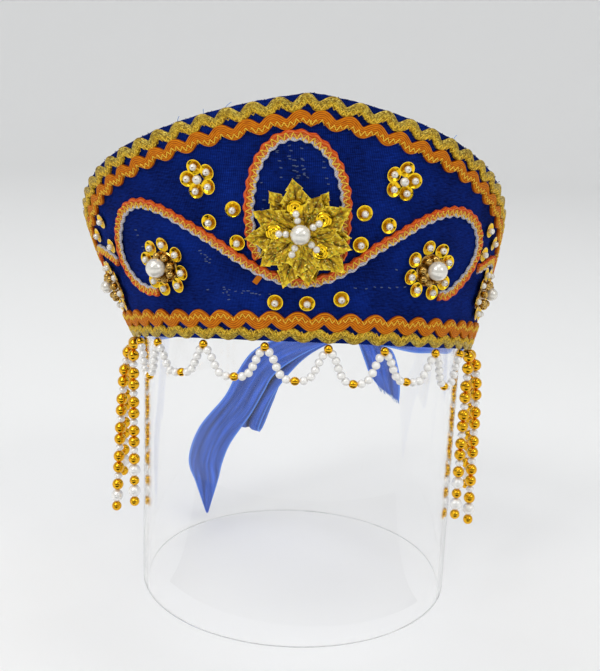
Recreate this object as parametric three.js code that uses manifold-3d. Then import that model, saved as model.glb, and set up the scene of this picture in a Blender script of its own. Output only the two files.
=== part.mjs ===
// Kokoshnik headdress on a clear tube stand.
// A curved panel of royal blue cloth leans back round an acrylic tube. Rick-rack trims, scroll braids,
// sequins, pearls and a gold leaf flower are sewn to its face, bead swags and strands hang under it, and
// a satin ribbon tied behind the tube holds it in place.
// Units are millimetres and degrees. +Z is up and the face of the headdress looks along -Y.

import * as THREE from "three";
import { mergeVertices } from "three/addons/utils/BufferGeometryUtils.js";
import Module from "manifold-3d";

// Driving dimensions

const GAP = 0.3; // air kept between neighbouring pieces

const TUBE_RADIUS = 95;
const TUBE_WALL = 3;
const TUBE_HEIGHT = 200;
const TUBE_SIDES = 48;

// The panel is a flared band. An angle runs round it from the front centre, positive to +X, and a slant
// runs up its face from the bottom edge.
const BAND_RADIUS = 98.4; // outer face at the bottom edge
const BAND_CENTRE = new THREE.Vector3(0, -9.3, 152.8); // centre of the bottom edge
const LEAN_BACK = 15.4;
const FLARE = 18.9; // outward slope of the face at the front centre
const FLARE_SKEW = 5.9; // the left end flares this much more, the right end this much less
const PANEL_THICKNESS = 2.2;
const PANEL_PEAK = 124.7; // slant at the front centre
const PANEL_TAPER_ANGLE = 98.5; // angle at which the outline would come down to the bottom edge
const PANEL_END_ANGLE = 97.6; // angle of the upright end edges
const OUTLINE_POWER = 1.1;
const OUTLINE_ROOT = 0.36;
const PANEL_COLUMNS = 46;
const PANEL_ROWS = 4;

// Rick-rack: a flat braid in a zigzag wave
const TRIM_WAVE = 2.1; // height of the wave's middle line above and below its run
const TRIM_BAND = 5.2; // braid height measured across the run
const TRIM_THICKNESS = 1.2;
const TRIM_PITCH = 13.6;
const TRIM_GOLD_INSET = 4.9; // from the panel's edge to the middle of the gold run
const TRIM_ORANGE_INSET = 11.6;
const TRIM_END_SLANT = 17.2; // the top trims stop above the bottom trims

const BRAID_WIDTH = 5;
const BRAID_THICKNESS = 2;
const BRAID_STEP = 6; // length of one straight facet

const SEQUIN_RADIUS = 4;
const SMALL_PEARL_RADIUS = 1.75;
const LARGE_PEARL_RADIUS = 5;
const SIDE_PEARL_RADIUS = 3.5; // in the rosettes at the sides
const SEQUIN_SIDES = 8;
const SEQUIN_CUP = 1; // rise of the rim above the foot
const SEQUIN_RIM = 0.4; // thickness of the rim
const SEQUIN_PEARL_RISE = 2; // middle of the pearl above the foot
const PEARL_LATITUDES = [-37, 0, 45]; // rings of a small pearl that stands in a cup

// Flower of three leaf layers
const FLOWER_PLACE = { angle: -1.3, slant: 56.3 };
const LEAF_THICKNESS = 0.7;
const LEAF_BOWL = 0.0042; // rise of a leaf per square millimetre of reach
const LEAF_HUB_RADIUS = 4.5;
const LEAF_LAYER_STEP = 1.1;
const LEAF_FIRST_HEIGHT = 1;
const STAMEN_HUB_RADIUS = 3.5;
const STAMEN_HUB_THICKNESS = 0.7;
const STAMEN_PEARLS = 2;
const STAMEN_SEQUIN_REACH = 13;

const SEQUIN_FLOWER_RADIUS = 6.3;
const SEQUIN_FLOWER_PETALS = 5;
const SEQUIN_FLOWER_PEARL_RADIUS = 2.25;
const SEQUIN_FLOWER_BASE = 1; // thickness of the common base

const ROSETTE_PETALS = 8;
const ROSETTE_PETAL_RING = 12;
const ROSETTE_BEAD_RING = 6.4;
const ROSETTE_BEAD_RADIUS = 2.1;
const ROSETTE_BEAD_HEIGHT = 3.6;
const ROSETTE_BASE_RADIUS = 9;
const ROSETTE_BASE_THICKNESS = 2;

const BEAD_SIDES = 5;
const THREAD_RADIUS = 0.7;
const HANG_GAP = 0.5; // from the panel's bottom edge down to a string's first ring
const SWAG_PEARL = 4.2;
const SWAG_GOLD = 4.6;
const SWAG_PEARLS_A_SIDE = 5;
const SWAG_SHOULDER = 0.8; // drop from the top bead to the first pearl of a side
const SWAG_BOW = 5.6; // how far a side bows below a straight line
const SWAG_LIFT = 4; // the bow takes this much off a swag's depth
const STRAND_GOLD = 7;
const STRAND_PEARL = { long: 4, wide: 5 }; // sunk into the holes of its neighbours
const STRAND_END_PEARL = 7.5;
const STRAND_END_GOLD = 6;
const STRAND_OFF_FACE = 1.2; // a strand hangs from just outside the panel's face

const RIBBON_THICKNESS = 1;
const ON_TUBE = 0.9; // standoff of the middle of a ribbon that lies on the tube
const RIBBON_STEPS = 3; // smooth steps for each row of a ribbon
const KNOT = { angle: 13, height: 141, width: 24, depth: 11.2, tall: 25 };

// A table is a list of rows whose columns have names.
function table(columns, rows) {
  return rows.map((row) =>
    Object.fromEntries(columns.map((name, i) => [name, row[i]])),
  );
}

const SCROLL_BRAID = table(
  ["angle", "slant"],
  [
    [-44.3, 26.6],
    [-49, 27.6],
    [-53.5, 32.5],
    [-56.5, 43],
    [-55.7, 54],
    [-52.3, 64.5],
    [-48, 72],
    [-43, 74.5],
    [-37, 70.7],
    [-30, 62],
    [-24, 54],
    [-18.5, 46.2],
    [-13, 39],
    [-7, 34],
    [-1.3, 31.8],
    [5, 34],
    [12, 41.2],
    [18, 50.5],
    [24, 58.5],
    [30.5, 66.8],
    [37, 72.3],
    [43, 73.6],
    [49, 70.3],
    [53.7, 63],
    [55.3, 54],
    [53.3, 43.5],
    [49, 35],
    [45, 29.6],
    [41.2, 28.9],
  ],
);

const LOOP_BRAID = table(
  ["angle", "slant"],
  [
    [-11.6, 43.8],
    [-13.2, 52.5],
    [-13.5, 62],
    [-13.4, 72],
    [-12.5, 82],
    [-11, 91.4],
    [-8.5, 99.4],
    [-5.6, 103.9],
    [-2.5, 105],
    [0.5, 103.3],
    [3.4, 98.6],
    [5.8, 92],
    [7.5, 84.9],
    [8.7, 76.5],
    [9.3, 66],
    [9.3, 56],
    [8.8, 44],
  ],
);

const SIDE_BRAID_LEFT = table(
  ["angle", "slant"],
  [
    [-60.2, 44.4],
    [-64, 48.5],
    [-68.5, 52],
    [-72.5, 53.6],
    [-76, 51.8],
    [-77.8, 47.8],
    [-78, 44.4],
  ],
);

const SIDE_BRAID_RIGHT = table(
  ["angle", "slant"],
  [
    [58.6, 45.4],
    [63, 48.2],
    [68, 51.6],
    [72.5, 52.4],
    [76, 50.2],
    [77.8, 47],
    [78, 44.2],
  ],
);

const SEQUINS = table(
  ["angle", "slant"],
  [
    [-17.2, 68.7],
    [-23.4, 62.6],
    [-16.8, 52],
    [13.6, 68.3],
    [20.3, 62.8],
    [13.6, 52.4],
    [-7.7, 21.3],
    [0.9, 21.3],
    [10.1, 24.1],
    [-61.2, 68],
    [-67.8, 61.2],
    [-60.4, 53.8],
    [59.5, 67.5],
    [66.1, 61.5],
    [59.8, 54.2],
  ],
);

const SEQUIN_FLOWERS = table(
  ["side", "angle", "slant", "turn"],
  [
    ["left", -24.4, 84.4, 105],
    ["right", 22, 85.4, 80],
  ],
);

const ROSETTES = table(
  ["side", "angle", "slant", "turn", "pearl"],
  [
    ["left", -39.2, 40.1, -14, LARGE_PEARL_RADIUS],
    ["right", 35.4, 41.6, 20, LARGE_PEARL_RADIUS],
    ["far_left", -71, 31.5, 22.5, SIDE_PEARL_RADIUS],
    ["far_right", 70, 32.6, 22.5, SIDE_PEARL_RADIUS],
  ],
);

// Each leaf points along its turn, measured from the panel's level direction towards its top.
const LEAVES = table(
  ["layer", "turn", "length", "width"],
  [
    ["back", 126, 27.3, 12],
    ["back", 60, 25.8, 12],
    ["back", -1, 24.9, 11],
    ["back", -72, 24.6, 11],
    ["back", -150, 23.5, 11],
    ["middle", 99.5, 29, 13],
    ["middle", 31.6, 28.5, 13],
    ["middle", -38, 28.5, 13],
    ["middle", -107, 27.5, 13],
    ["middle", -176, 27.5, 13],
    ["front", 153, 26.5, 12],
    ["front", 66, 23, 11],
    ["front", -12, 25.9, 12],
    ["front", -79, 25, 12],
    ["front", -142, 24.6, 12],
  ],
);
const LEAF_LAYERS = ["back", "middle", "front"];
const STAMEN_TURNS = [104, 34, -41, -112, 179];

const SWAG_ANGLES = [-68.5, -53, -31.5, -11, 8, 26, 47, 64];

// Each strand hangs from an angle of the bottom edge, stands out from it and swings by x and y at its foot.
const STRANDS = table(
  ["side", "name", "angle", "out", "footX", "footY", "units", "ends"],
  [
    ["left", "a", -94.5, 4.4, -8.5, -5, 5, 1],
    ["left", "b", -89.6, 1.8, 1.7, -4, 4, 2],
    ["left", "c", -99.4, 6, -6, 7, 4, 1],
    ["right", "a", 94.5, 6.2, 2.5, -5, 5, 1],
    ["right", "b", 89.6, 0.6, -2, -5, 4, 2],
    ["right", "c", 99.4, 6, 3, 7, 4, 1],
  ],
);

// How a strand leaves the edge: a share of its standing out, the way down and a share of its swing
const STRAND_ROUTE = table(
  ["outShare", "down", "share"],
  [
    [0.76, 5, 0.15],
    [1, 18, 0.4],
  ],
);

// The ribbon lies round the back of the tube. An angle is measured from +Y, positive to +X, the standoff
// from the tube's face, and the tilt turns the ribbon's width from level.
const RIBBONS = {
  tie_left: table(
    ["angle", "height", "standoff", "tilt", "width"],
    [
      [-85.6, 158.9, 6.2, 74, 20],
      [-77, 155.5, 3.6, 80, 25],
      [-64, 152.5, 1.6, 87, 26],
      [-48, 150, ON_TUBE, 90, 26],
      [-30, 147.5, ON_TUBE, 90, 26],
      [-14, 144, ON_TUBE, 90, 24],
      [0, 142, ON_TUBE, 90, 20],
      [12.3, 141, ON_TUBE, 90, 18],
    ],
  ),
  tie_right: table(
    ["angle", "height", "standoff", "tilt", "width"],
    [
      [13.7, 141, ON_TUBE, 90, 18],
      [26, 141, ON_TUBE, 90, 22],
      [40, 142.5, ON_TUBE, 90, 25],
      [53, 144.5, ON_TUBE, 90, 26],
      [66, 150, 1.6, 93, 26],
      [78, 154.8, 3, 100, 25],
      [85.6, 159.2, 4.1, 106, 20],
    ],
  ),
  loop: table(
    ["angle", "height", "standoff", "tilt", "width"],
    [
      [11, 127.9, 9.6, 0, 13],
      [-3, 117, 7.4, -44, 18],
      [-13, 99, 6, -50, 22],
      [-19.5, 80, 6.2, -42, 25],
      [-22.6, 66, 7.8, -28, 26],
      [-22, 60.5, 11.2, -20, 26],
      [-19.6, 65.5, 14.8, -28, 26],
      [-15, 84, 16.4, -44, 25],
      [-8.5, 105, 16, -54, 19],
      [3, 124, 14.6, -36, 14],
      [12, 134.4, 13.2, 0, 12],
    ],
  ),
  tail_long: table(
    ["angle", "height", "standoff", "tilt", "width"],
    [
      [10, 127.8, 6.4, 0, 13],
      [-6, 120, 4, -44, 20],
      [-16, 110, 2.4, -48, 24],
      [-21.5, 97, 1.8, -40, 26],
      [-27, 81, 1.8, -36, 26],
      [-38.3, 60.5, 1.8, -30, 32],
      [-42.5, 44.5, 1.8, -19, 32],
      [-41.5, 29, 1.8, -6, 20],
      [-41.1, 5, 2, 0, 1.5],
    ],
  ),
  tail_short: table(
    ["angle", "height", "standoff", "tilt", "width"],
    [
      [21.4, 134.5, 6.6, -56, 12],
      [26, 131.5, 5.6, -24, 21],
      [31.3, 126.5, 4.6, 0, 27],
      [34.5, 117, 3.6, 0, 28],
      [37, 106, 3, -6, 26],
      [39.4, 97, 2.8, -20, 20],
    ],
  ),
};

const COLOURS = {
  acrylic: [0xf2f4f6, 0.05, 0],
  blueCloth: [0x11237e, 0.9, 0],
  goldLurex: [0xc29a25, 0.45, 0.6],
  orangeBraid: [0xd8700f, 0.75, 0],
  scrollBraid: [0xd2531a, 0.75, 0],
  goldLeaf: [0xc7a017, 0.4, 0.7],
  goldSequin: [0xe2ae12, 0.2, 0.9],
  antiqueGold: [0x8a6a2a, 0.3, 0.9],
  pearl: [0xf1eee8, 0.25, 0],
  satin: [0x2c50c4, 0.4, 0],
};

// Places on the panel and round the tube

const radians = THREE.MathUtils.degToRad;

function flareAt(angle) {
  return radians(FLARE - FLARE_SKEW * Math.sin(radians(angle)));
}

// A point over the panel's outer face, in the headdress group's frame.
function onPanel({ angle, slant }, height = 0) {
  const flare = flareAt(angle);
  const radius =
    BAND_RADIUS + slant * Math.sin(flare) + height * Math.cos(flare);
  const rise = slant * Math.cos(flare) - height * Math.sin(flare);
  const turn = radians(angle);
  return new THREE.Vector3(
    radius * Math.sin(turn),
    -radius * Math.cos(turn),
    rise,
  );
}

// A frame on the panel: x round it, y up its face and z out of it.
function panelFrame(place) {
  const turn = radians(place.angle);
  const flare = flareAt(place.angle);
  const round = new THREE.Vector3(Math.cos(turn), Math.sin(turn), 0);
  const up = new THREE.Vector3(
    Math.sin(turn) * Math.sin(flare),
    -Math.cos(turn) * Math.sin(flare),
    Math.cos(flare),
  );
  const out = new THREE.Vector3().crossVectors(round, up);
  return new THREE.Matrix4()
    .makeBasis(round, up, out)
    .setPosition(onPanel(place));
}

// Length on the face of one degree of angle
function degreeLength({ angle, slant }) {
  return radians(1) * (BAND_RADIUS + slant * Math.sin(flareAt(angle)));
}

function outlineSlant(angle) {
  const share = Math.abs(angle) / PANEL_TAPER_ANGLE;
  return PANEL_PEAK * (1 - share ** OUTLINE_POWER) ** OUTLINE_ROOT;
}

// A point round the back of the tube
function behindTube({ angle, height, standoff }) {
  const radius = TUBE_RADIUS + standoff;
  const turn = radians(angle);
  return new THREE.Vector3(
    radius * Math.sin(turn),
    radius * Math.cos(turn),
    height,
  );
}

// Solids

function geometryOf(positions, faces) {
  const geometry = new THREE.BufferGeometry();
  geometry.setAttribute(
    "position",
    new THREE.Float32BufferAttribute(positions, 3),
  );
  geometry.setIndex(faces);
  geometry.computeVertexNormals();
  return geometry;
}

// A closed sheet. point(i, j, side) gives a point of its back (0) or front (1), with i along it and j up
// it when the front is looked at.
function sheet(columns, rows, point) {
  const positions = [];
  const faces = [];
  const at = (i, j, side) => (side * (columns + 1) + i) * (rows + 1) + j;
  const quad = (a, b, c, d) => faces.push(a, b, c, a, c, d);
  for (let side = 0; side < 2; side++)
    for (let i = 0; i <= columns; i++)
      for (let j = 0; j <= rows; j++)
        positions.push(...point(i, j, side).toArray());
  for (let i = 0; i < columns; i++) {
    for (let j = 0; j < rows; j++) {
      quad(at(i, j, 1), at(i + 1, j, 1), at(i + 1, j + 1, 1), at(i, j + 1, 1));
      quad(at(i, j, 0), at(i, j + 1, 0), at(i + 1, j + 1, 0), at(i + 1, j, 0));
    }
    quad(at(i, 0, 0), at(i + 1, 0, 0), at(i + 1, 0, 1), at(i, 0, 1));
    quad(at(i, rows, 1), at(i + 1, rows, 1), at(i + 1, rows, 0), at(i, rows, 0));
  }
  for (let j = 0; j < rows; j++) {
    quad(at(0, j, 0), at(0, j, 1), at(0, j + 1, 1), at(0, j + 1, 0));
    quad(
      at(columns, j, 1),
      at(columns, j, 0),
      at(columns, j + 1, 0),
      at(columns, j + 1, 1),
    );
  }
  return geometryOf(positions, faces);
}

// A string of beads spread along a curve. Each bead is a ring at its middle between two rings at the
// thread.
function beadString(curve, sizes, outward) {
  const rings = [{ distance: 0, radius: THREAD_RADIUS }];
  let distance = 0;
  for (const { long, wide = long } of sizes) {
    rings.push({ distance: distance + long / 2, radius: wide / 2 });
    distance += long;
    rings.push({ distance, radius: THREAD_RADIUS });
  }
  const positions = [];
  const faces = [];
  for (const ring of rings) {
    const share = ring.distance / distance;
    const centre = curve.getPointAt(share);
    const along = curve.getTangentAt(share);
    const across = new THREE.Vector3().crossVectors(along, outward).normalize();
    const out = new THREE.Vector3().crossVectors(across, along);
    for (let k = 0; k < BEAD_SIDES; k++) {
      const turn = (2 * Math.PI * k) / BEAD_SIDES;
      const point = centre
        .clone()
        .addScaledVector(across, ring.radius * Math.sin(turn))
        .addScaledVector(out, ring.radius * Math.cos(turn));
      positions.push(...point.toArray());
    }
  }
  const at = (ring, k) => ring * BEAD_SIDES + (k % BEAD_SIDES);
  for (let ring = 0; ring + 1 < rings.length; ring++)
    for (let k = 0; k < BEAD_SIDES; k++)
      faces.push(
        ...[at(ring, k), at(ring, k + 1), at(ring + 1, k + 1)],
        ...[at(ring, k), at(ring + 1, k + 1), at(ring + 1, k)],
      );
  for (let k = 1; k + 1 < BEAD_SIDES; k++) {
    const last = rings.length - 1;
    faces.push(at(0, 0), at(0, k + 1), at(0, k));
    faces.push(at(last, 0), at(last, k), at(last, k + 1));
  }
  return geometryOf(positions, faces);
}

// A turned solid whose profile of [radius, height] points runs from the axis up to the axis.
function turned(profile, sides) {
  const points = profile.map(([radius, height]) => new THREE.Vector2(radius, height));
  return new THREE.LatheGeometry(points, sides).rotateX(Math.PI / 2);
}

function disc(radius, low, high, sides = 8) {
  return turned(
    [
      [0, low],
      [radius, low],
      [radius, high],
      [0, high],
    ],
    sides,
  );
}

function ball(radius, sides = 10, bands = 7) {
  return new THREE.SphereGeometry(radius, sides, bands).rotateX(Math.PI / 2);
}

const wasm = await Module();
wasm.setup();

function solidOf(geometry) {
  const bare = new THREE.BufferGeometry();
  bare.setAttribute("position", geometry.getAttribute("position"));
  bare.setIndex(geometry.index);
  const merged = mergeVertices(bare);
  return new wasm.Manifold(
    new wasm.Mesh({
      numProp: 3,
      vertProperties: merged.getAttribute("position").array,
      triVerts: new Uint32Array(merged.index.array),
    }),
  );
}

// Several overlapping geometries joined into one
function joined(geometries) {
  const whole = geometries.map(solidOf).reduce((sum, next) => sum.add(next));
  const mesh = whole.getMesh();
  return geometryOf(Array.from(mesh.vertProperties), Array.from(mesh.triVerts));
}

// Scene graph: the headdress group leans back, and everything hangs or stands in the root.

const root = new THREE.Group();
const headdress = new THREE.Group();
headdress.position.copy(BAND_CENTRE);
headdress.rotation.x = -radians(LEAN_BACK);
root.add(headdress);
root.updateMatrixWorld(true);

function addMesh(group, name, geometry, [color, roughness, metalness]) {
  const material = new THREE.MeshStandardMaterial({ color, roughness, metalness });
  const mesh = new THREE.Mesh(geometry, material);
  mesh.name = name;
  group.add(mesh);
  return mesh;
}

// A mesh sewn on the panel, its geometry standing in the frame of its place
function sewOn(place, name, geometry, colour) {
  const mesh = addMesh(headdress, name, geometry, colour);
  panelFrame(place).decompose(mesh.position, mesh.quaternion, mesh.scale);
}

// A point on the panel in the root's frame
function panelInRoot(place, height) {
  return onPanel(place, height).applyMatrix4(headdress.matrix);
}

// Stand: an open tube

function tubeGeometry() {
  const inner = TUBE_RADIUS - TUBE_WALL;
  const ring = [
    [inner, 0],
    [TUBE_RADIUS, 0],
    [TUBE_RADIUS, TUBE_HEIGHT],
    [inner, TUBE_HEIGHT],
    [inner, 0],
  ];
  return turned(ring, TUBE_SIDES);
}
addMesh(root, "stand_tube", tubeGeometry(), COLOURS.acrylic);

// Panel: columns crowd towards the ends, where the outline turns down

function panelGeometry() {
  const place = (i, j) => {
    const share = (2 * i) / PANEL_COLUMNS - 1;
    const angle = PANEL_END_ANGLE * Math.sin((share * Math.PI) / 2);
    return { angle, slant: (outlineSlant(angle) * j) / PANEL_ROWS };
  };
  const heights = [-PANEL_THICKNESS, 0];
  return sheet(PANEL_COLUMNS, PANEL_ROWS, (i, j, side) =>
    onPanel(place(i, j), heights[side]),
  );
}
addMesh(headdress, "panel", panelGeometry(), COLOURS.blueCloth);

// Trims: zigzag bands along the bottom edge and along the ends and top

const trimHeights = [GAP, GAP + TRIM_THICKNESS];

function trimGeometry(halfWaves, place) {
  return sheet(halfWaves, 1, (i, j, side) => {
    const wave = i % 2 ? TRIM_WAVE : -TRIM_WAVE;
    const band = j ? TRIM_BAND / 2 : -TRIM_BAND / 2;
    return onPanel(place(i / halfWaves, wave + band), trimHeights[side]);
  });
}

function bottomTrim(inset) {
  const run = 2 * PANEL_END_ANGLE;
  const length = run * degreeLength({ angle: 0, slant: 0 });
  const halfWaves = 2 * Math.round(length / TRIM_PITCH);
  return trimGeometry(halfWaves, (share, up) => ({
    angle: run * (share - 0.5),
    slant: inset + up,
  }));
}

// The line of the panel's end edges and top edge, with the distance along it
const edgeLine = (() => {
  const steps = 240;
  const line = [{ angle: -PANEL_END_ANGLE, slant: TRIM_END_SLANT }];
  for (let i = 0; i <= steps; i++) {
    const angle = PANEL_END_ANGLE * Math.sin((Math.PI * i) / steps - Math.PI / 2);
    line.push({ angle, slant: outlineSlant(angle) });
  }
  line.push({ angle: PANEL_END_ANGLE, slant: TRIM_END_SLANT });
  line.forEach((place, i) => {
    const before = i ? line[i - 1] : place;
    const step = onPanel(place).distanceTo(onPanel(before));
    place.distance = i ? before.distance + step : 0;
  });
  return line;
})();
const edgeLength = edgeLine[edgeLine.length - 1].distance;

function edgeAt(distance) {
  const next = edgeLine.findIndex((place) => place.distance >= distance);
  const b = edgeLine[next < 1 ? 1 : next];
  const a = edgeLine[(next < 1 ? 1 : next) - 1];
  const share = (distance - a.distance) / (b.distance - a.distance);
  return {
    angle: a.angle + share * (b.angle - a.angle),
    slant: a.slant + share * (b.slant - a.slant),
  };
}

// A place set in from the edge, square to it
function insetPlace(distance, depth) {
  const reach = 2;
  const here = edgeAt(distance);
  const before = edgeAt(Math.max(distance - reach, 0));
  const after = edgeAt(Math.min(distance + reach, edgeLength));
  const along = (after.angle - before.angle) * degreeLength(here);
  const rise = after.slant - before.slant;
  const step = Math.hypot(along, rise);
  return {
    angle: here.angle + (depth * rise) / step / degreeLength(here),
    slant: here.slant - (depth * along) / step,
  };
}

function topTrim(inset) {
  const halfWaves = 2 * Math.round(edgeLength / TRIM_PITCH);
  return trimGeometry(halfWaves, (share, up) =>
    insetPlace(share * edgeLength, inset - up),
  );
}

addMesh(headdress, "trim_bottom_gold", bottomTrim(TRIM_GOLD_INSET), COLOURS.goldLurex);
addMesh(headdress, "trim_bottom_orange", bottomTrim(TRIM_ORANGE_INSET), COLOURS.orangeBraid);
addMesh(headdress, "trim_top_gold", topTrim(TRIM_GOLD_INSET), COLOURS.goldLurex);
addMesh(headdress, "trim_top_orange", topTrim(TRIM_ORANGE_INSET), COLOURS.orangeBraid);

// Braids: a flat strip along a smooth line through its places

function braidGeometry(places) {
  const points = places.map(({ angle, slant }) => new THREE.Vector3(angle, slant, 0));
  const line = new THREE.CatmullRomCurve3(points, false, "centripetal");
  const steps = Math.round(braidLength(line) / BRAID_STEP);
  const placeAt = (share) => {
    const { x: angle, y: slant } = line.getPoint(share);
    return { angle, slant };
  };
  return sheet(steps, 1, (i, j, side) => {
    const share = i / steps;
    const nudge = 0.5 / steps;
    const place = placeAt(share);
    const ahead = onPanel(placeAt(Math.min(share + nudge, 1)));
    const behind = onPanel(placeAt(Math.max(share - nudge, 0)));
    const out = onPanel(place, 1).sub(onPanel(place));
    const along = ahead.sub(behind).normalize();
    const up = new THREE.Vector3().crossVectors(out, along);
    const height = GAP + side * BRAID_THICKNESS;
    return onPanel(place, height).addScaledVector(up, (j - 0.5) * BRAID_WIDTH);
  });
}

function braidLength(line) {
  const marks = 200;
  let length = 0;
  let last = null;
  for (let i = 0; i <= marks; i++) {
    const { x: angle, y: slant } = line.getPoint(i / marks);
    const point = onPanel({ angle, slant });
    if (last) length += point.distanceTo(last);
    last = point;
  }
  return length;
}

addMesh(headdress, "scroll_braid", braidGeometry(SCROLL_BRAID), COLOURS.scrollBraid);
addMesh(headdress, "loop_braid", braidGeometry(LOOP_BRAID), COLOURS.scrollBraid);
addMesh(headdress, "side_braid_left", braidGeometry(SIDE_BRAID_LEFT), COLOURS.scrollBraid);
addMesh(headdress, "side_braid_right", braidGeometry(SIDE_BRAID_RIGHT), COLOURS.scrollBraid);

// Sequins: a shallow cup with a pearl in it, turned in one piece

function sequinGeometry(sides = SEQUIN_SIDES) {
  const rim = GAP + SEQUIN_CUP;
  const pearlMiddle = GAP + SEQUIN_PEARL_RISE;
  const cup = [
    [0, GAP],
    [SEQUIN_RADIUS, rim],
    [SEQUIN_RADIUS, rim + SEQUIN_RIM],
  ];
  const pearl = PEARL_LATITUDES.map((latitude) => [
    SMALL_PEARL_RADIUS * Math.cos(radians(latitude)),
    pearlMiddle + SMALL_PEARL_RADIUS * Math.sin(radians(latitude)),
  ]);
  const top = [0, pearlMiddle + SMALL_PEARL_RADIUS];
  return turned([...cup, ...pearl, top], sides);
}

SEQUINS.forEach((place, i) => {
  const name = "sequin_" + String(i + 1).padStart(2, "0");
  sewOn(place, name, sequinGeometry(), COLOURS.goldSequin);
});

// Sequin flowers: five sequins in a ring round a pearl, on a common base

function sequinFlowerGeometry(turn) {
  const petalSides = 6;
  const pearlSink = 0.4;
  const baseTop = GAP + SEQUIN_FLOWER_BASE;
  const base = disc(SEQUIN_FLOWER_RADIUS - SEQUIN_RADIUS / 2, GAP, baseTop);
  const pearl = ball(SEQUIN_FLOWER_PEARL_RADIUS, 7, 5);
  pearl.translate(0, 0, baseTop + SEQUIN_FLOWER_PEARL_RADIUS - pearlSink);
  const pieces = [base, pearl];
  for (let k = 0; k < SEQUIN_FLOWER_PETALS; k++) {
    const way = radians(turn + (360 * k) / SEQUIN_FLOWER_PETALS);
    const petal = sequinGeometry(petalSides).translate(SEQUIN_FLOWER_RADIUS, 0, 0);
    pieces.push(petal.rotateZ(way));
  }
  return joined(pieces);
}

for (const { side, turn, ...place } of SEQUIN_FLOWERS)
  sewOn(place, "sequin_flower_" + side, sequinFlowerGeometry(turn), COLOURS.goldSequin);

// Rosettes: sequins and beads in two rings on a base, with a large pearl standing on the beads

function rosetteGeometry(turn) {
  const petalTop = GAP + SEQUIN_CUP + SEQUIN_RIM;
  const baseTop = GAP + ROSETTE_BASE_THICKNESS;
  const pieces = [disc(ROSETTE_BASE_RADIUS, GAP, baseTop, ROSETTE_PETALS)];
  for (let k = 0; k < ROSETTE_PETALS; k++) {
    const petal = disc(SEQUIN_RADIUS, GAP, petalTop);
    petal.translate(ROSETTE_PETAL_RING, 0, 0);
    pieces.push(petal.rotateZ((2 * Math.PI * k) / ROSETTE_PETALS));
  }
  const ring = new THREE.EllipseCurve(0, 0, ROSETTE_BEAD_RING, ROSETTE_BEAD_RING);
  const ringSteps = 8 * ROSETTE_PETALS;
  const ringPoints = ring.getPoints(ringSteps).map(
    ({ x, y }) => new THREE.Vector3(x, y, ROSETTE_BEAD_HEIGHT),
  );
  const thread = new THREE.CatmullRomCurve3(ringPoints);
  const bead = { long: thread.getLength() / ROSETTE_PETALS, wide: 2 * ROSETTE_BEAD_RADIUS };
  const beads = Array(ROSETTE_PETALS).fill(bead);
  pieces.push(beadString(thread, beads, new THREE.Vector3(0, 0, 1)));
  return joined(pieces).rotateZ(radians(turn));
}

// A pearl rests on the ring of beads, or on the base if it drops through the ring.
function rosettePearlGeometry(radius) {
  const apart = radius + ROSETTE_BEAD_RADIUS + GAP;
  const aboveBeads = Math.sqrt(Math.max(apart ** 2 - ROSETTE_BEAD_RING ** 2, 0));
  const onBase = GAP + ROSETTE_BASE_THICKNESS + GAP + radius;
  return ball(radius).translate(0, 0, Math.max(ROSETTE_BEAD_HEIGHT + aboveBeads, onBase));
}

for (const { side, turn, pearl, ...place } of ROSETTES) {
  sewOn(place, "rosette_" + side, rosetteGeometry(turn), COLOURS.antiqueGold);
  sewOn(place, "rosette_pearl_" + side, rosettePearlGeometry(pearl), COLOURS.pearl);
}

// Flower: three layers of leaves, the stamens and a large pearl, one above the other

function leafGeometry({ turn, length, width }, height) {
  const steps = 4;
  const tipWidth = 0.4;
  const rootWidth = 4;
  const bellyPower = 0.8; // under 1 puts the widest place nearer to the root
  return sheet(steps, 2, (i, j, side) => {
    const share = i / steps;
    const belly = Math.sin(Math.PI * share ** bellyPower);
    const foot = rootWidth * (1 - share);
    const across = (j / 2 - 0.5) * Math.max(width * belly, foot, tipWidth);
    const reach = share * length;
    const up = height + LEAF_BOWL * (reach ** 2 + across ** 2) + side * LEAF_THICKNESS;
    return new THREE.Vector3(reach, across, up).applyAxisAngle(
      new THREE.Vector3(0, 0, 1),
      radians(turn),
    );
  });
}

LEAF_LAYERS.forEach((layer, level) => {
  const height = LEAF_FIRST_HEIGHT + level * LEAF_LAYER_STEP;
  const foot = level ? height : GAP; // the lowest layer's hub reaches down to the cloth
  const hub = disc(LEAF_HUB_RADIUS, foot, height + LEAF_THICKNESS);
  const leaves = LEAVES.filter((leaf) => leaf.layer === layer);
  const geometry = joined([hub, ...leaves.map((leaf) => leafGeometry(leaf, height))]);
  sewOn(FLOWER_PLACE, "flower_leaves_" + layer, geometry, COLOURS.goldLeaf);
});

const leafTop =
  LEAF_FIRST_HEIGHT + (LEAF_LAYERS.length - 1) * LEAF_LAYER_STEP + LEAF_THICKNESS;
const stamenFoot = leafTop + GAP;
const stamenTop = stamenFoot + STAMEN_HUB_THICKNESS;

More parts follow.
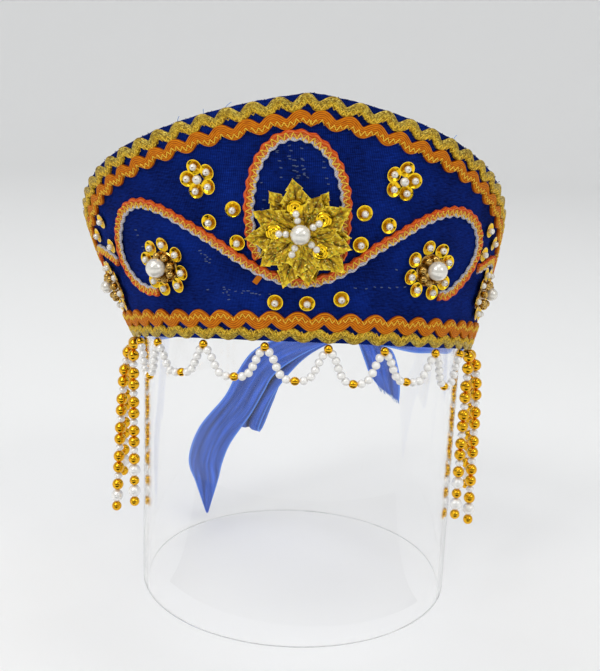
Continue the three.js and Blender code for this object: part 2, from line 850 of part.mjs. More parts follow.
// Each arm is a thread that rises from the hub through two pearls to a sequin.
function stamensGeometry() {
  const rise = 2;
  const sequinThickness = 0.8;
  const middle = (stamenFoot + stamenTop) / 2;
  const threadPiece = { long: STAMEN_HUB_RADIUS + 1, wide: THREAD_RADIUS };
  const beads = [threadPiece, ...Array(STAMEN_PEARLS).fill({ long: 2 * SMALL_PEARL_RADIUS })];
  const pieces = [disc(STAMEN_HUB_RADIUS, stamenFoot, stamenTop)];
  for (const turn of STAMEN_TURNS) {
    const thread = new THREE.LineCurve3(
      new THREE.Vector3(1, 0, middle),
      new THREE.Vector3(STAMEN_SEQUIN_REACH, 0, middle + rise),
    );
    const arm = beadString(thread, beads, new THREE.Vector3(0, 0, 1));
    const sequin = disc(SEQUIN_RADIUS, -sequinThickness, 0);
    sequin.translate(STAMEN_SEQUIN_REACH, 0, middle + rise);
    pieces.push(arm.rotateZ(radians(turn)), sequin.rotateZ(radians(turn)));
  }
  return joined(pieces);
}

sewOn(FLOWER_PLACE, "flower_stamens", stamensGeometry(), COLOURS.goldSequin);
const flowerPearl = ball(LARGE_PEARL_RADIUS);
flowerPearl.translate(0, 0, stamenTop + GAP + LARGE_PEARL_RADIUS);
sewOn(FLOWER_PLACE, "flower_pearl", flowerPearl, COLOURS.pearl);

// Swags: a gold bead under the edge, then pearls down to a gold bead and up to the next one

function swagGeometry(from, to, isLast) {
  const drop = new THREE.Vector3(0, 0, -1);
  const start = panelInRoot({ angle: from, slant: -HANG_GAP }, 0);
  const end = panelInRoot({ angle: to, slant: -HANG_GAP }, 0);
  const along = end.clone().sub(start).setZ(0).normalize();
  const outward = new THREE.Vector3().crossVectors(along, drop).negate();
  const aside = SWAG_PEARL / 2 + GAP;
  const below = (point, depth) => point.clone().addScaledVector(drop, depth);
  const left = below(start, SWAG_GOLD + SWAG_SHOULDER).addScaledVector(along, aside);
  const right = below(end, SWAG_GOLD + SWAG_SHOULDER).addScaledVector(along, -aside);
  const arm = SWAG_PEARLS_A_SIDE * SWAG_PEARL + SWAG_GOLD / 2;
  const half = left.distanceTo(right) / 2;
  const bottom = below(left.clone().lerp(right, 0.5), Math.sqrt(arm ** 2 - half ** 2) - SWAG_LIFT);
  const bow = (a, b) => below(a.clone().lerp(b, 0.5), SWAG_BOW);
  const route = [start, below(start, SWAG_GOLD), left, bow(left, bottom), bottom];
  route.push(bow(bottom, right), right);
  if (isLast) route.push(below(end, SWAG_GOLD), end);
  const curve = new THREE.CatmullRomCurve3(route, false, "centripetal");
  const gold = { long: SWAG_GOLD };
  const pearls = Array(SWAG_PEARLS_A_SIDE).fill({ long: SWAG_PEARL });
  const beads = [gold, ...pearls, gold, ...pearls];
  if (isLast) beads.push(gold);
  return beadString(curve, beads, outward);
}

for (let k = 1; k < SWAG_ANGLES.length; k++) {
  const isLast = k === SWAG_ANGLES.length - 1;
  const geometry = swagGeometry(SWAG_ANGLES[k - 1], SWAG_ANGLES[k], isLast);
  addMesh(root, "swag_" + k, geometry, COLOURS.pearl);
}

// Strands: gold beads in pairs with a small pearl between, ending in large pearls

function strandGeometry({ angle, out, footX, footY, units, ends }) {
  const gold = { long: STRAND_GOLD };
  const beads = [gold];
  for (let k = 0; k < units; k++) beads.push(gold, STRAND_PEARL, gold);
  for (let k = 0; k < ends; k++)
    beads.push({ long: STRAND_END_PEARL }, { long: STRAND_END_GOLD });
  const length = beads.reduce((sum, bead) => sum + bead.long, 0);
  const onEdge = THREE.MathUtils.clamp(angle, -PANEL_END_ANGLE, PANEL_END_ANGLE);
  const top = panelInRoot({ angle: onEdge, slant: -HANG_GAP }, STRAND_OFF_FACE);
  const outward = panelInRoot({ angle, slant: 0 }, 1).sub(panelInRoot({ angle, slant: 0 }, 0));
  outward.setZ(0).normalize();
  const below = ({ outShare, down, share }) =>
    top
      .clone()
      .addScaledVector(outward, outShare * out)
      .add(new THREE.Vector3(footX * share, footY * share, -down));
  const foot = { outShare: 1, down: length, share: 1 };
  const route = [top, ...STRAND_ROUTE.map(below), below(foot)];
  const curve = new THREE.CatmullRomCurve3(route, false, "centripetal");
  return beadString(curve, beads, outward);
}

for (const strand of STRANDS) {
  const name = "strand_" + strand.side + "_" + strand.name;
  addMesh(root, name, strandGeometry(strand), COLOURS.goldSequin);
}

// Ribbon: flat lengths round the back of the tube, and a knot that stands on the ties

// Rows of a ribbon's table with smooth rows put between them
function smoothRows(rows) {
  const columns = Object.keys(rows[0]);
  const marks = rows.map((_, i) => i);
  const values = rows.flatMap((row) => columns.map((name) => row[name]));
  const line = new THREE.CubicInterpolant(marks, values, columns.length);
  const steps = RIBBON_STEPS * (rows.length - 1);
  return Array.from({ length: steps + 1 }, (_, i) => {
    const found = line.evaluate(i / RIBBON_STEPS);
    return Object.fromEntries(columns.map((name, k) => [name, found[k]]));
  });
}

function ribbonGeometry(named) {
  const rows = smoothRows(named);
  const centres = rows.map(behindTube);
  const across = rows.map(({ angle, tilt }) => {
    const turn = radians(angle);
    const level = new THREE.Vector3(Math.cos(turn), -Math.sin(turn), 0);
    const lift = new THREE.Vector3(0, 0, Math.sin(radians(tilt)));
    return level.multiplyScalar(Math.cos(radians(tilt))).add(lift);
  });
  return sheet(rows.length - 1, 1, (i, j, side) => {
    const before = centres[Math.max(i - 1, 0)];
    const after = centres[Math.min(i + 1, rows.length - 1)];
    const along = after.clone().sub(before).normalize();
    const out = new THREE.Vector3().crossVectors(along, across[i]).normalize();
    return centres[i]
      .clone()
      .addScaledVector(across[i], (j - 0.5) * rows[i].width)
      .addScaledVector(out, (side - 0.5) * RIBBON_THICKNESS);
  });
}

for (const [name, rows] of Object.entries(RIBBONS))
  addMesh(root, "ribbon_" + name, ribbonGeometry(rows), COLOURS.satin);

const tieTop = ON_TUBE + RIBBON_THICKNESS / 2;
const knotGeometry = ball(1, 12, 9);
knotGeometry.scale(KNOT.width / 2, KNOT.depth / 2, KNOT.tall / 2);
const knot = addMesh(root, "ribbon_knot", knotGeometry, COLOURS.satin);
const knotStandoff = tieTop + GAP + KNOT.depth / 2;
knot.position.copy(behindTube({ ...KNOT, standoff: knotStandoff }));
knot.rotation.z = -radians(KNOT.angle);

// The origin is under the middle of the whole piece, on the surface it stands on.

root.updateMatrixWorld(true);
const box = new THREE.Box3().setFromObject(root, true);
const middle = box.getCenter(new THREE.Vector3());
root.children.forEach((child) => {
  child.position.sub(new THREE.Vector3(middle.x, middle.y, box.min.z));
});

export default root;
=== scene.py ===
"""Kokoshnik headdress on a clear tube stand: the finish of every piece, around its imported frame."""
import math

import bmesh
import bpy
import numpy as np
from mathutils import Matrix, Vector


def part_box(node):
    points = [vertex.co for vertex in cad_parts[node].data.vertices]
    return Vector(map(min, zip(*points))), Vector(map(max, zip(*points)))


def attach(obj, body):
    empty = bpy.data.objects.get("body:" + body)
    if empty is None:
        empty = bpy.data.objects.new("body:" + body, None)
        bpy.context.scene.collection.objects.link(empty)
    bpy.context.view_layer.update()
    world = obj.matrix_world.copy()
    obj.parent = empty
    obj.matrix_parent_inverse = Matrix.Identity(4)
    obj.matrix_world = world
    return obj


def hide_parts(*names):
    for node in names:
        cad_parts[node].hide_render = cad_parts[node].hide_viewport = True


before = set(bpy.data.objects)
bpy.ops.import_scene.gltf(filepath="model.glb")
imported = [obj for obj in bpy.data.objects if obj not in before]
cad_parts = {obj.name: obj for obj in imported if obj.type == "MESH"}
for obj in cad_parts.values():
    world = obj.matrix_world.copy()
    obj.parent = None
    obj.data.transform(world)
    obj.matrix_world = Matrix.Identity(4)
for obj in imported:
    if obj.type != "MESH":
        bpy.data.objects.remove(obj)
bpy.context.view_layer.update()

# Studio
# A pale paper sweep that turns up into a wall all round, a wide soft lamp above, two smaller ones in front
# that give the highlights, and black cards behind the camera and on the floor that only shiny things see.
# The camera stands a little above the band and looks down on it.
MM = 0.001
SWEEP_FLOOR = 2200.0  # radius of the flat paper
SWEEP_BEND = 1300.0
SWEEP_TOP = 3600.0
FOCAL_PIXELS = 1100.0
PICTURE_HEIGHT = 671
SENSOR = 36.0
CAMERA_PLACE = Vector((0.0, -643.18, 325.59))  # from the foot of the tube's axis
CAMERA_DOWN = math.radians(14.85)
CAMERA_YAW = math.radians(-0.13)
CAMERA_ROLL = math.radians(2.24)
LAMPS = [  # name, place, power in watts, side
    ("lamp_above", (-300.0, -300.0, 2700.0), 28.0, 2400.0),
    ("lamp_left", (-1300.0, -1500.0, 1700.0), 13.0, 760.0),
    ("lamp_right", (1500.0, -1300.0, 1500.0), 7.5, 760.0),
]

tube_low, tube_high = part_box("stand_tube")
axis_foot = np.array([(tube_low.x + tube_high.x) / 2, (tube_low.y + tube_high.y) / 2, tube_low.z]) / MM


def srgb(hex_colour):
    """A colour written as sRGB hex, in linear light."""
    parts = [int(hex_colour[i:i + 2], 16) / 255 for i in (1, 3, 5)]
    return [c / 12.92 if c <= 0.04045 else ((c + 0.055) / 1.055) ** 2.4 for c in parts] + [1.0]


def add(tree, kind, inputs=None, **settings):
    """Adds a node with its own settings. Inputs are plain values, or sockets to link."""
    made = kind if isinstance(kind, bpy.types.Node) else tree.nodes.new("ShaderNode" + kind)
    for name, value in settings.items():
        setattr(made, name, value)
    for name, value in (inputs or {}).items():
        if isinstance(value, bpy.types.NodeSocket):
            tree.links.new(value, made.inputs[name])
        else:
            made.inputs[name].default_value = value
    return made


def new_finish(name, inputs):
    """A material with its shader's plain values set. Returns it, its tree and the shader."""
    material = bpy.data.materials.new(name)
    material.use_nodes = True
    tree = material.node_tree
    return material, tree, add(tree, tree.nodes["Principled BSDF"], inputs)


def blotches(tree, size, detail=2.0):
    """Soft blotches of a size in millimetres, laid out through the piece."""
    place = add(tree, "TexCoord").outputs["Object"]
    return add(tree, "TexNoise", {"Vector": place, "Scale": 1 / (size * MM), "Detail": detail}).outputs["Fac"]


def mottled(name, inputs, size, colours, detail=2.0):
    """A material whose colour drifts between two, in blotches of a size in millimetres."""
    material, tree, shader = new_finish(name, inputs)
    dark, pale = (srgb(colour) for colour in colours)
    tint = add(tree, "Mix", {0: blotches(tree, size, detail), 6: dark, 7: pale}, data_type="RGBA")
    add(tree, shader, {"Base Color": tint.outputs[2]})
    return material


def skin(rings, material=0, ends="capped", lay=None):
    """Rings of points, in millimetres, joined into a skin. Lay is across, along and tone at each point."""
    rows, around = rings.shape[:2]
    last = rows if ends == "joined" else rows - 1
    i, j = np.meshgrid(np.arange(last), np.arange(around), indexing="ij")
    ahead, beside = (i + 1) % rows, (j + 1) % around
    corners = [i * around + j, i * around + beside, ahead * around + beside, ahead * around + j]
    faces = np.stack(corners, -1).reshape(-1, 4).tolist()
    if ends in ("capped", "footed"):
        faces.append(list(range(around))[::-1])
    if ends == "capped":
        faces.append(list(range((rows - 1) * around, rows * around)))
    lay = np.zeros(rings.shape) if lay is None else np.broadcast_to(lay, rings.shape)
    return rings.reshape(-1, 3), faces, material, lay.reshape(-1, 3)


def make_mesh(name, skins, materials, sharp=40.0):
    """One object from skins, with its lay kept as an attribute for the finishes to read."""
    faces, finish, first = [], [], 0
    for points, own_faces, material, _ in skins:
        faces += [[first + corner for corner in face] for face in own_faces]
        finish += [material] * len(own_faces)
        first += len(points)
    mesh = bpy.data.meshes.new(name)
    mesh.from_pydata((np.concatenate([s[0] for s in skins]) * MM).tolist(), [], faces)
    mesh.polygons.foreach_set("material_index", finish)
    lay = mesh.attributes.new("Lay", "FLOAT_VECTOR", "POINT")
    lay.data.foreach_set("vector", np.concatenate([s[3] for s in skins]).ravel())
    for material in materials:
        mesh.materials.append(material)
    edit = bmesh.new()
    edit.from_mesh(mesh)
    bmesh.ops.recalc_face_normals(edit, faces=edit.faces)
    edit.to_mesh(mesh)
    edit.free()
    mesh.polygons.foreach_set("use_smooth", [True] * len(mesh.polygons))
    mesh.set_sharp_from_angle(angle=math.radians(sharp))
    made = bpy.data.objects.new(name, mesh)
    bpy.context.collection.objects.link(made)
    return made


def turned(profile, sides, ends="capped", material=0, lay=None):
    """Rings round +Z through a profile of radius and height."""
    way = np.linspace(0, 2 * math.pi, sides, endpoint=False)
    profile = np.asarray(profile, float)
    rings = np.stack(
        [np.outer(profile[:, 0], np.cos(way)), np.outer(profile[:, 0], np.sin(way)),
         np.outer(profile[:, 1], np.ones(sides))], -1)
    return skin(rings, material, ends, lay)


# Matt white paper: it only takes the light.
paper = mottled("matt_white_paper", {"Roughness": 0.9}, 1.1, ("#EFEFEE", "#F3F3F2"))
bend = np.linspace(0, math.pi / 2, 24)
sweep_profile = [(1.0, 0.0), (400.0, 0.0), (SWEEP_FLOOR, 0.0)]
sweep_profile += [(SWEEP_FLOOR + SWEEP_BEND * math.sin(b), SWEEP_BEND * (1 - math.cos(b))) for b in bend[1:]]
sweep_profile.append((SWEEP_FLOOR + SWEEP_BEND, SWEEP_TOP))
make_mesh("paper_sweep", [turned(sweep_profile, 96, "footed")], [paper])

CARDS = {  # half turn, then radius and height of a card's four edges
    "standing_card": (50, ((1500, 120), (1500, 520), (1504, 520), (1504, 120))),
    "lying_card": (65, ((112, 1), (290, 1), (290, 2), (112, 2))),
}
# Black card: it only shows as a dark band in what shines.
card = mottled("black_card", {"Roughness": 0.9}, 3.0, ("#0A0A0C", "#17171B"))
for name, (half_turn, edges) in CARDS.items():
    round_way = np.radians(np.linspace(-half_turn, half_turn, 33))
    card_rings = np.stack([
        np.stack([r * np.sin(round_way), -r * np.cos(round_way), np.full(33, z)], -1) for r, z in edges], 1)
    black_card = make_mesh(name, [skin(card_rings)], [card])
    for kind in ("camera", "diffuse", "shadow", "transmission"):
        setattr(black_card, "visible_" + kind, False)

world = bpy.data.worlds.new("soft_room")
world.use_nodes = True
add(world.node_tree, world.node_tree.nodes["Background"], {"Color": srgb("#F4F6FA"), "Strength": 0.59})
bpy.context.scene.world = world
bpy.context.scene.view_settings.view_transform = "Standard"

middle = Vector((axis_foot + np.array([0, 0, 160.0])).tolist()) * MM
for name, place, power, side in LAMPS:
    light = bpy.data.lights.new(name, "AREA")
    light.energy = power
    light.size = side * MM
    lamp = bpy.data.objects.new(name, light)
    bpy.context.collection.objects.link(lamp)
    lamp.location = Vector((place[0] + axis_foot[0], place[1] + axis_foot[1], place[2])) * MM
    lamp.rotation_euler = (middle - lamp.location).to_track_quat("-Z", "Y").to_euler()
    lamp.visible_camera = False

ahead = Vector((math.sin(CAMERA_YAW) * math.cos(CAMERA_DOWN), math.cos(CAMERA_YAW) * math.cos(CAMERA_DOWN),
                -math.sin(CAMERA_DOWN)))
level = Vector((math.cos(CAMERA_YAW), -math.sin(CAMERA_YAW), 0))
upright = level.cross(ahead)
right = level * math.cos(CAMERA_ROLL) + upright * math.sin(CAMERA_ROLL)
up = upright * math.cos(CAMERA_ROLL) - level * math.sin(CAMERA_ROLL)
view = bpy.data.cameras.new("camera")
view.sensor_width = SENSOR
view.lens = FOCAL_PIXELS * SENSOR / PICTURE_HEIGHT
camera = bpy.data.objects.new("camera", view)
bpy.context.collection.objects.link(camera)
camera.matrix_world = Matrix.Translation((CAMERA_PLACE + Vector(axis_foot.tolist())) * MM) @ Matrix(
    (right, up, -ahead)).transposed().to_4x4()
bpy.context.scene.camera = camera

# Stand
# An open tube of clear acrylic, sawn square and polished, that stands on its end inside the headdress.
TUBE_RADIUS = 95.0
TUBE_WALL = 3.0
TUBE_HEIGHT = 200.0
TUBE_CHAMFER = 0.4
TUBE_SIDES = 240
outer, inner, cut = TUBE_RADIUS, TUBE_RADIUS - TUBE_WALL, TUBE_CHAMFER
tube_profile = [(outer - cut, 0), (outer, cut), (outer, TUBE_HEIGHT / 2), (outer, TUBE_HEIGHT - cut),
                (outer - cut, TUBE_HEIGHT), (inner + cut, TUBE_HEIGHT), (inner, TUBE_HEIGHT - cut),
                (inner, TUBE_HEIGHT / 2), (inner, cut), (inner + cut, 0)]
# Cast acrylic: clear to the edge, with a faint smear where hands have wiped it.
acrylic, tree, shader = new_finish("cast_acrylic", {
    "Base Color": srgb("#FFFFFF"), "Transmission Weight": 1.0, "IOR": 1.49,
    "Specular Tint": srgb("#A8ACB4")})
gloss = add(tree, "MapRange", {0: blotches(tree, 30.0), 3: 0.0, 4: 0.02})
add(tree, shader, {"Roughness": gloss.outputs[0]})
# Sawn acrylic: the top end keeps the saw's fine frost, so it shows as a pale grey ring.
sawn_end = mottled("sawn_acrylic", {"Roughness": 0.5, "IOR": 1.49}, 0.6, ("#C3C9CD", "#E6EAEC"))
points, faces, material, lay = turned(tube_profile, TUBE_SIDES, "joined")
tube = make_mesh("clear_tube", [(points + axis_foot, faces, material, lay)], [acrylic, sawn_end])
for face in tube.data.polygons:
    face.material_index = int(face.center.z > tube_high.z - TUBE_CHAMFER * MM)
tube.visible_shadow = False
tube.visible_diffuse = False
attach(tube, "root")
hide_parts("stand_tube")

# Panel
# Royal blue cotton with pale slubs in rows, stretched over a stiff curved core that flares out and leans
# back. Its top edge is cut raw, so short threads stand out of it.
BAND_RADIUS = 98.4
BAND_CENTRE = np.array([0.0, -9.3, 152.8])
LEAN_BACK = math.radians(15.4)
FLARE = 18.9
FLARE_SKEW = 5.9
PANEL_THICKNESS = 2.2
PANEL_PEAK = 124.7
PANEL_TAPER_ANGLE = 98.5
PANEL_END_ANGLE = 97.6
OUTLINE_POWER = 1.1
OUTLINE_ROOT = 0.36
PANEL_COLUMNS = 420
PANEL_ROWS = 64
EDGE_ROUND = 0.8  # how far in from an edge the cloth starts to turn over it
CLOTH_RIPPLE = 0.12
FRAY_SHORT = 180
FRAY_LONG = 4
FLECK_ROWS = [  # angle and slant of the first and last slub of a row, and how many
    (-4.4, 99.5, -1.7, 79, 15), (-2.0, 98.5, -0.8, 84, 11), (-7.2, 98.5, -6.2, 84, 8), (-27, 27, -9.5, 25, 16),
    (-22, 29, -20.2, 22, 6), (-28, 47, -25, 41, 6), (-26.5, 46, -24, 42, 4), (14, 29, 34, 33, 9),
    (-47, 60, -45, 46, 6), (3, 92, 4.4, 78, 6), (-10.4, 86, -10, 66, 7), (24, 45, 26, 36, 5)]
FLECK_MISSED = 0.25  # share of the slubs that lie on the back of the cloth
chance = np.random.default_rng(11)
lean = np.array([[1, 0, 0], [0, math.cos(LEAN_BACK), math.sin(LEAN_BACK)],
                 [0, -math.sin(LEAN_BACK), math.cos(LEAN_BACK)]])


def flare_at(angle):
    return np.radians(FLARE - FLARE_SKEW * np.sin(np.radians(angle)))


def on_panel(angle, slant, height=0.0):
    """Points over the panel's face: degrees round it, millimetres up its slope and out of it."""
    angle, slant, height = np.broadcast_arrays(*(np.asarray(v, float) for v in (angle, slant, height)))
    flare, turn = flare_at(angle), np.radians(angle)
    radius = BAND_RADIUS + slant * np.sin(flare) + height * np.cos(flare)
    rise = slant * np.cos(flare) - height * np.sin(flare)
    points = np.stack([radius * np.sin(turn), -radius * np.cos(turn), rise], -1)
    return points @ lean.T + BAND_CENTRE + axis_foot


def out_of_panel(angle):
    """The way out of the panel's face."""
    angle = np.asarray(angle, float)
    flare, turn = flare_at(angle), np.radians(angle)
    way = np.stack([np.cos(flare) * np.sin(turn), -np.cos(flare) * np.cos(turn), -np.sin(flare)], -1)
    return way @ lean.T


def degree_length(angle, slant):
    return math.radians(1) * (BAND_RADIUS + slant * np.sin(flare_at(angle)))


def outline_slant(angle):
    share = np.abs(angle) / PANEL_TAPER_ANGLE
    return PANEL_PEAK * (1 - share ** OUTLINE_POWER) ** OUTLINE_ROOT


def cord(path, radius, out, sides=6, material=0, lay=None):
    """A round thread along a path. Out is a way that the path never takes."""
    ahead = np.gradient(path, axis=0)
    side = np.cross(ahead, out)
    side /= np.linalg.norm(side, axis=1, keepdims=True)
    top = np.cross(side, ahead)
    top /= np.linalg.norm(top, axis=1, keepdims=True)
    way = np.linspace(0, 2 * math.pi, sides, endpoint=False)
    radius = np.broadcast_to(radius, len(path))[:, None, None]
    offset = side[:, None] * np.cos(way)[None, :, None] + top[:, None] * np.sin(way)[None, :, None]
    return skin(path[:, None] + radius * offset, material, "capped", lay)


columns = PANEL_END_ANGLE * np.sin(np.linspace(-math.pi / 2, math.pi / 2, PANEL_COLUMNS))
rows = np.linspace(0, 1, PANEL_ROWS)
angle, share = np.meshgrid(columns, rows, indexing="ij")
ragged = 1 + 0.25 / outline_slant(angle) * np.sin(angle * 61) * np.sin(angle * 23.7 + 1) * (share > 0.98)
slant = share * outline_slant(angle) * ragged
reach = np.minimum(slant, outline_slant(angle) - slant)
turn_over = 0.9 * (1 - np.sqrt(1 - np.clip(1 - reach / EDGE_ROUND, 0, 1) ** 2))
ripple = CLOTH_RIPPLE * (np.sin(angle * 0.31 + slant * 0.05) + np.sin(slant * 0.21 - angle * 0.11))
front = on_panel(angle, slant, ripple - CLOTH_RIPPLE - turn_over)
back = on_panel(angle, slant, -PANEL_THICKNESS + turn_over)
cloth_lay = np.stack([np.radians(angle) * (BAND_RADIUS + 20), slant, np.zeros(slant.shape)], -1)
rings = np.concatenate([front, back[:, ::-1]], 1)
panel_skins = [skin(rings, 0, "capped", np.concatenate([cloth_lay, cloth_lay[:, ::-1]], 1))]
for k in range(FRAY_SHORT + FRAY_LONG):
    is_long = k >= FRAY_SHORT
    at = chance.uniform(-95, 95)
    length = chance.uniform(1.6, 3.2) if is_long else chance.uniform(0.05, 0.35)
    sway = chance.normal(0, 0.8 if is_long else 0.5)
    lift = chance.uniform(-1.2, 0.2)
    steps = np.linspace(0, 1, 6)
    path = on_panel(at + sway * steps ** 2 * length / 2, outline_slant(at) - 1.0 + (length + 1.0) * steps,
                    lift + steps ** 2 * chance.normal(0, 0.6))
    panel_skins.append(cord(path, 0.15, out_of_panel(at), 5, 1 if is_long else 0, np.array([at * 2, 0.0, 0.0])))
for start_angle, start_slant, end_angle, end_slant, count in FLECK_ROWS:
    for share in np.linspace(0, 1, count):
        if chance.uniform() < FLECK_MISSED:
            continue
        at = start_angle + (end_angle - start_angle) * share + chance.normal(0, 0.25)
        up_face = start_slant + (end_slant - start_slant) * share + chance.normal(0, 0.5)
        steps = np.linspace(-0.5, 0.5, 5)
        long = chance.uniform(0.8, 1.9)
        path = on_panel(at + long / degree_length(at, up_face) * steps, up_face + chance.normal(0, 0.25) * steps,
                        0.05 - 1.1 * steps ** 2)
        panel_skins.append(cord(path, 0.3, out_of_panel(at), 6, 2))

# Royal blue cotton: a dull deep blue, painted a little darker between the yarns as painted shade, with short
# level streaks where the weft is thicker.
YARN = 0.9  # spacing in millimetres, drawn coarser than the real yarn so that it shows
WAVE_PERIOD = math.pi / 10  # of Blender's wave texture at scale 1
blue_cloth, tree, shader = new_finish("royal_blue_cotton", {"Specular IOR Level": 0.05, "Roughness": 0.9})
laid = add(tree, "Attribute", attribute_name="Lay").outputs["Vector"]
warp = add(tree, "TexWave", {"Vector": laid, "Scale": WAVE_PERIOD / YARN, "Distortion": 1.6, "Detail": 1.0,
                             "Detail Scale": 2.0}, bands_direction="X")
weft = add(tree, "TexWave", {"Vector": laid, "Scale": WAVE_PERIOD / (0.8 * YARN), "Distortion": 1.4,
                             "Detail": 1.0}, bands_direction="Y")
weave = add(tree, "Math", {0: warp.outputs["Fac"], 1: weft.outputs["Fac"]}, operation="MULTIPLY")
level_way = add(tree, "VectorMath", {0: laid, 1: (1 / 3.2, 1 / 0.9, 0.0)}, operation="MULTIPLY")
streak = add(tree, "TexNoise", {"Vector": level_way.outputs[0], "Scale": 1.0, "Detail": 3.0})
broad = add(tree, "TexNoise", {"Vector": laid, "Scale": 1 / 30.0, "Detail": 2.0})
tone = add(tree, "Math", {0: streak.outputs["Fac"], 1: broad.outputs["Fac"]}, operation="ADD")
tone = add(tree, "MapRange", {0: tone.outputs[0], 1: 0.65, 2: 1.35})
ground = add(tree, "Mix", {0: tone.outputs[0], 6: srgb("#030D3A"), 7: srgb("#0E2E8E")}, data_type="RGBA")
# Painted shade: the colour is scaled down between the yarns of the weave.
shaded = add(tree, "MapRange", {0: weave.outputs[0], 1: 0.0, 2: 0.6, 3: 0.6, 4: 1.25})
cloth = add(tree, "VectorMath", {0: ground.outputs[2], "Scale": shaded.outputs[0]}, operation="SCALE")
relief = add(tree, "Bump", {"Height": weave.outputs[0], "Strength": 0.6, "Distance": 0.3 * MM})
add(tree, shader, {"Base Color": cloth.outputs[0], "Normal": relief.outputs[0]})
# Loose warp thread: the paler yarn that shows once it has come out of the weave.
loose_thread = mottled("loose_blue_thread", {"Roughness": 0.6}, 0.5, ("#2F55B8", "#7FB2E6"))
# Pale slub: a knot of undyed yarn, grey buff among the blue.
slub = mottled("pale_cotton_slub", {"Roughness": 0.8, "Specular IOR Level": 0.1}, 0.6, ("#14286A", "#66738A"))

panel = make_mesh("cloth_panel", panel_skins, [blue_cloth, loose_thread, slub], 60)
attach(panel, "root")
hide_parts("panel")

# Rick-rack
# Flat braids woven in a wave and sewn along the edges with a zigzag stitch: gold lurex next to the edge, and
# orange rayon that laps over it, with ribs that follow the wave.
TRIM_THICKNESS = 1.2
TRIM_END_SLANT = 17.2
TRIM_STEP = 0.62
TRIM_TURN = 0.93  # share of the tightest turn that the braid's inner edge takes without a fold
GAP = 0.3
LAP = 0.5  # how much higher the orange braid lies
STITCH_PITCH = 3.2
STITCH_REACH = 1.2
STITCH_INSIDE = 1.4  # the stitch runs on the half that lies away from the edge
TRIMS = [  # node, inset of its middle from the edge, wave, band, a crest, pitch before and after it, ribs
    ("trim_bottom_gold", 4.1, 1.6, 5.0, -3.6, 7.6, 7.6, 7),
    ("trim_bottom_orange", 11.5, 1.95, 6.4, -1.4, 7.45, 7.45, 6),
    ("trim_top_gold", 4.0, 1.8, 5.0, 5.4, 13.15, 14.0, 7),
    ("trim_top_orange", 11.5, 1.7, 5.6, 1.4, 13.5, 14.2, 6),
]

edge_angle = PANEL_END_ANGLE * np.sin(np.linspace(-math.pi / 2, math.pi / 2, 900))
edge_slant = outline_slant(edge_angle)
edge_angle = np.concatenate([[-PANEL_END_ANGLE], edge_angle, [PANEL_END_ANGLE]])
edge_slant = np.concatenate([[TRIM_END_SLANT], edge_slant, [TRIM_END_SLANT]])
edge_gone = np.linalg.norm(np.diff(on_panel(edge_angle, edge_slant), axis=0), axis=1)
edge_gone = np.concatenate([[0], np.cumsum(edge_gone)])


def inside_edge(distance, depth):
    """A place set in from the top edge, square to it."""
    angle, slant = np.interp(distance, edge_gone, edge_angle), np.interp(distance, edge_gone, edge_slant)
    before, after = distance - 2, distance + 2
    along = np.interp(after, edge_gone, edge_angle) - np.interp(before, edge_gone, edge_angle)
    along = along * degree_length(angle, slant)
    rise = np.interp(after, edge_gone, edge_slant) - np.interp(before, edge_gone, edge_slant)
    step = np.hypot(along, rise)
    return angle + depth * rise / step / degree_length(angle, slant), slant - depth * along / step


# Lurex braid: metallised yarn crossed many ways, with every half millimetre painted a shade from dark to
# bright as a painted glint, over a bump that tilts it. It is worn paler at the outer lobes than where the
# stitch crosses it.
GLITTER = 0.6
lurex, tree, shader = new_finish("gold_lurex_braid", {"Metallic": 0.5, "Roughness": 0.4})
laid = add(tree, "Attribute", attribute_name="Lay").outputs["Vector"]
split = add(tree, "SeparateXYZ", {0: laid})
cells = add(tree, "TexVoronoi", {"Vector": laid, "Scale": 1 / GLITTER, "Randomness": 0.8})
chip = add(tree, "SeparateColor", {0: cells.outputs["Color"]})
# Painted glints: each cell of the yarn takes a random colour on a ramp from dark to bright gold.
glint_colours = []
for colours in (("#634604", "#B0840C", "#D8B018", "#F2DC50"), ("#523E0A", "#9C7C1C", "#C6A430", "#EBD666")):
    gilt = add(tree, "ValToRGB", {0: chip.outputs[0]})
    gilt.color_ramp.elements[0].color = srgb(colours[0])
    gilt.color_ramp.elements[1].color = srgb(colours[3])
    gilt.color_ramp.elements.new(0.3).color = srgb(colours[1])
    gilt.color_ramp.elements.new(0.7).color = srgb(colours[2])
    glint_colours.append(gilt.outputs[0])
outward = add(tree, "MapRange", {0: split.outputs[0], 1: -0.9, 2: 0.9})
gilt = add(tree, "Mix", {0: outward.outputs[0], 6: glint_colours[0], 7: glint_colours[1]}, data_type="RGBA")
relief = add(tree, "Bump", {"Height": chip.outputs[1], "Strength": 0.8, "Distance": 0.25 * MM})
add(tree, shader, {"Base Color": gilt.outputs[2], "Normal": relief.outputs[0]})
# Rayon braid: strong orange yarn with a dull shine, and painted shade, brown red, in the grooves between the ribs.
rayon, tree, shader = new_finish("orange_rayon_braid", {"Roughness": 0.6, "Specular IOR Level": 0.12})
laid = add(tree, "Attribute", attribute_name="Lay").outputs["Vector"]
split = add(tree, "SeparateXYZ", {0: laid})
yarn = add(tree, "VectorMath", {0: laid, 1: (1 / 0.5, 1 / 2.6, 0.0)}, operation="MULTIPLY")
mottle = add(tree, "TexNoise", {"Vector": yarn.outputs[0], "Scale": 1.0, "Detail": 2.0})
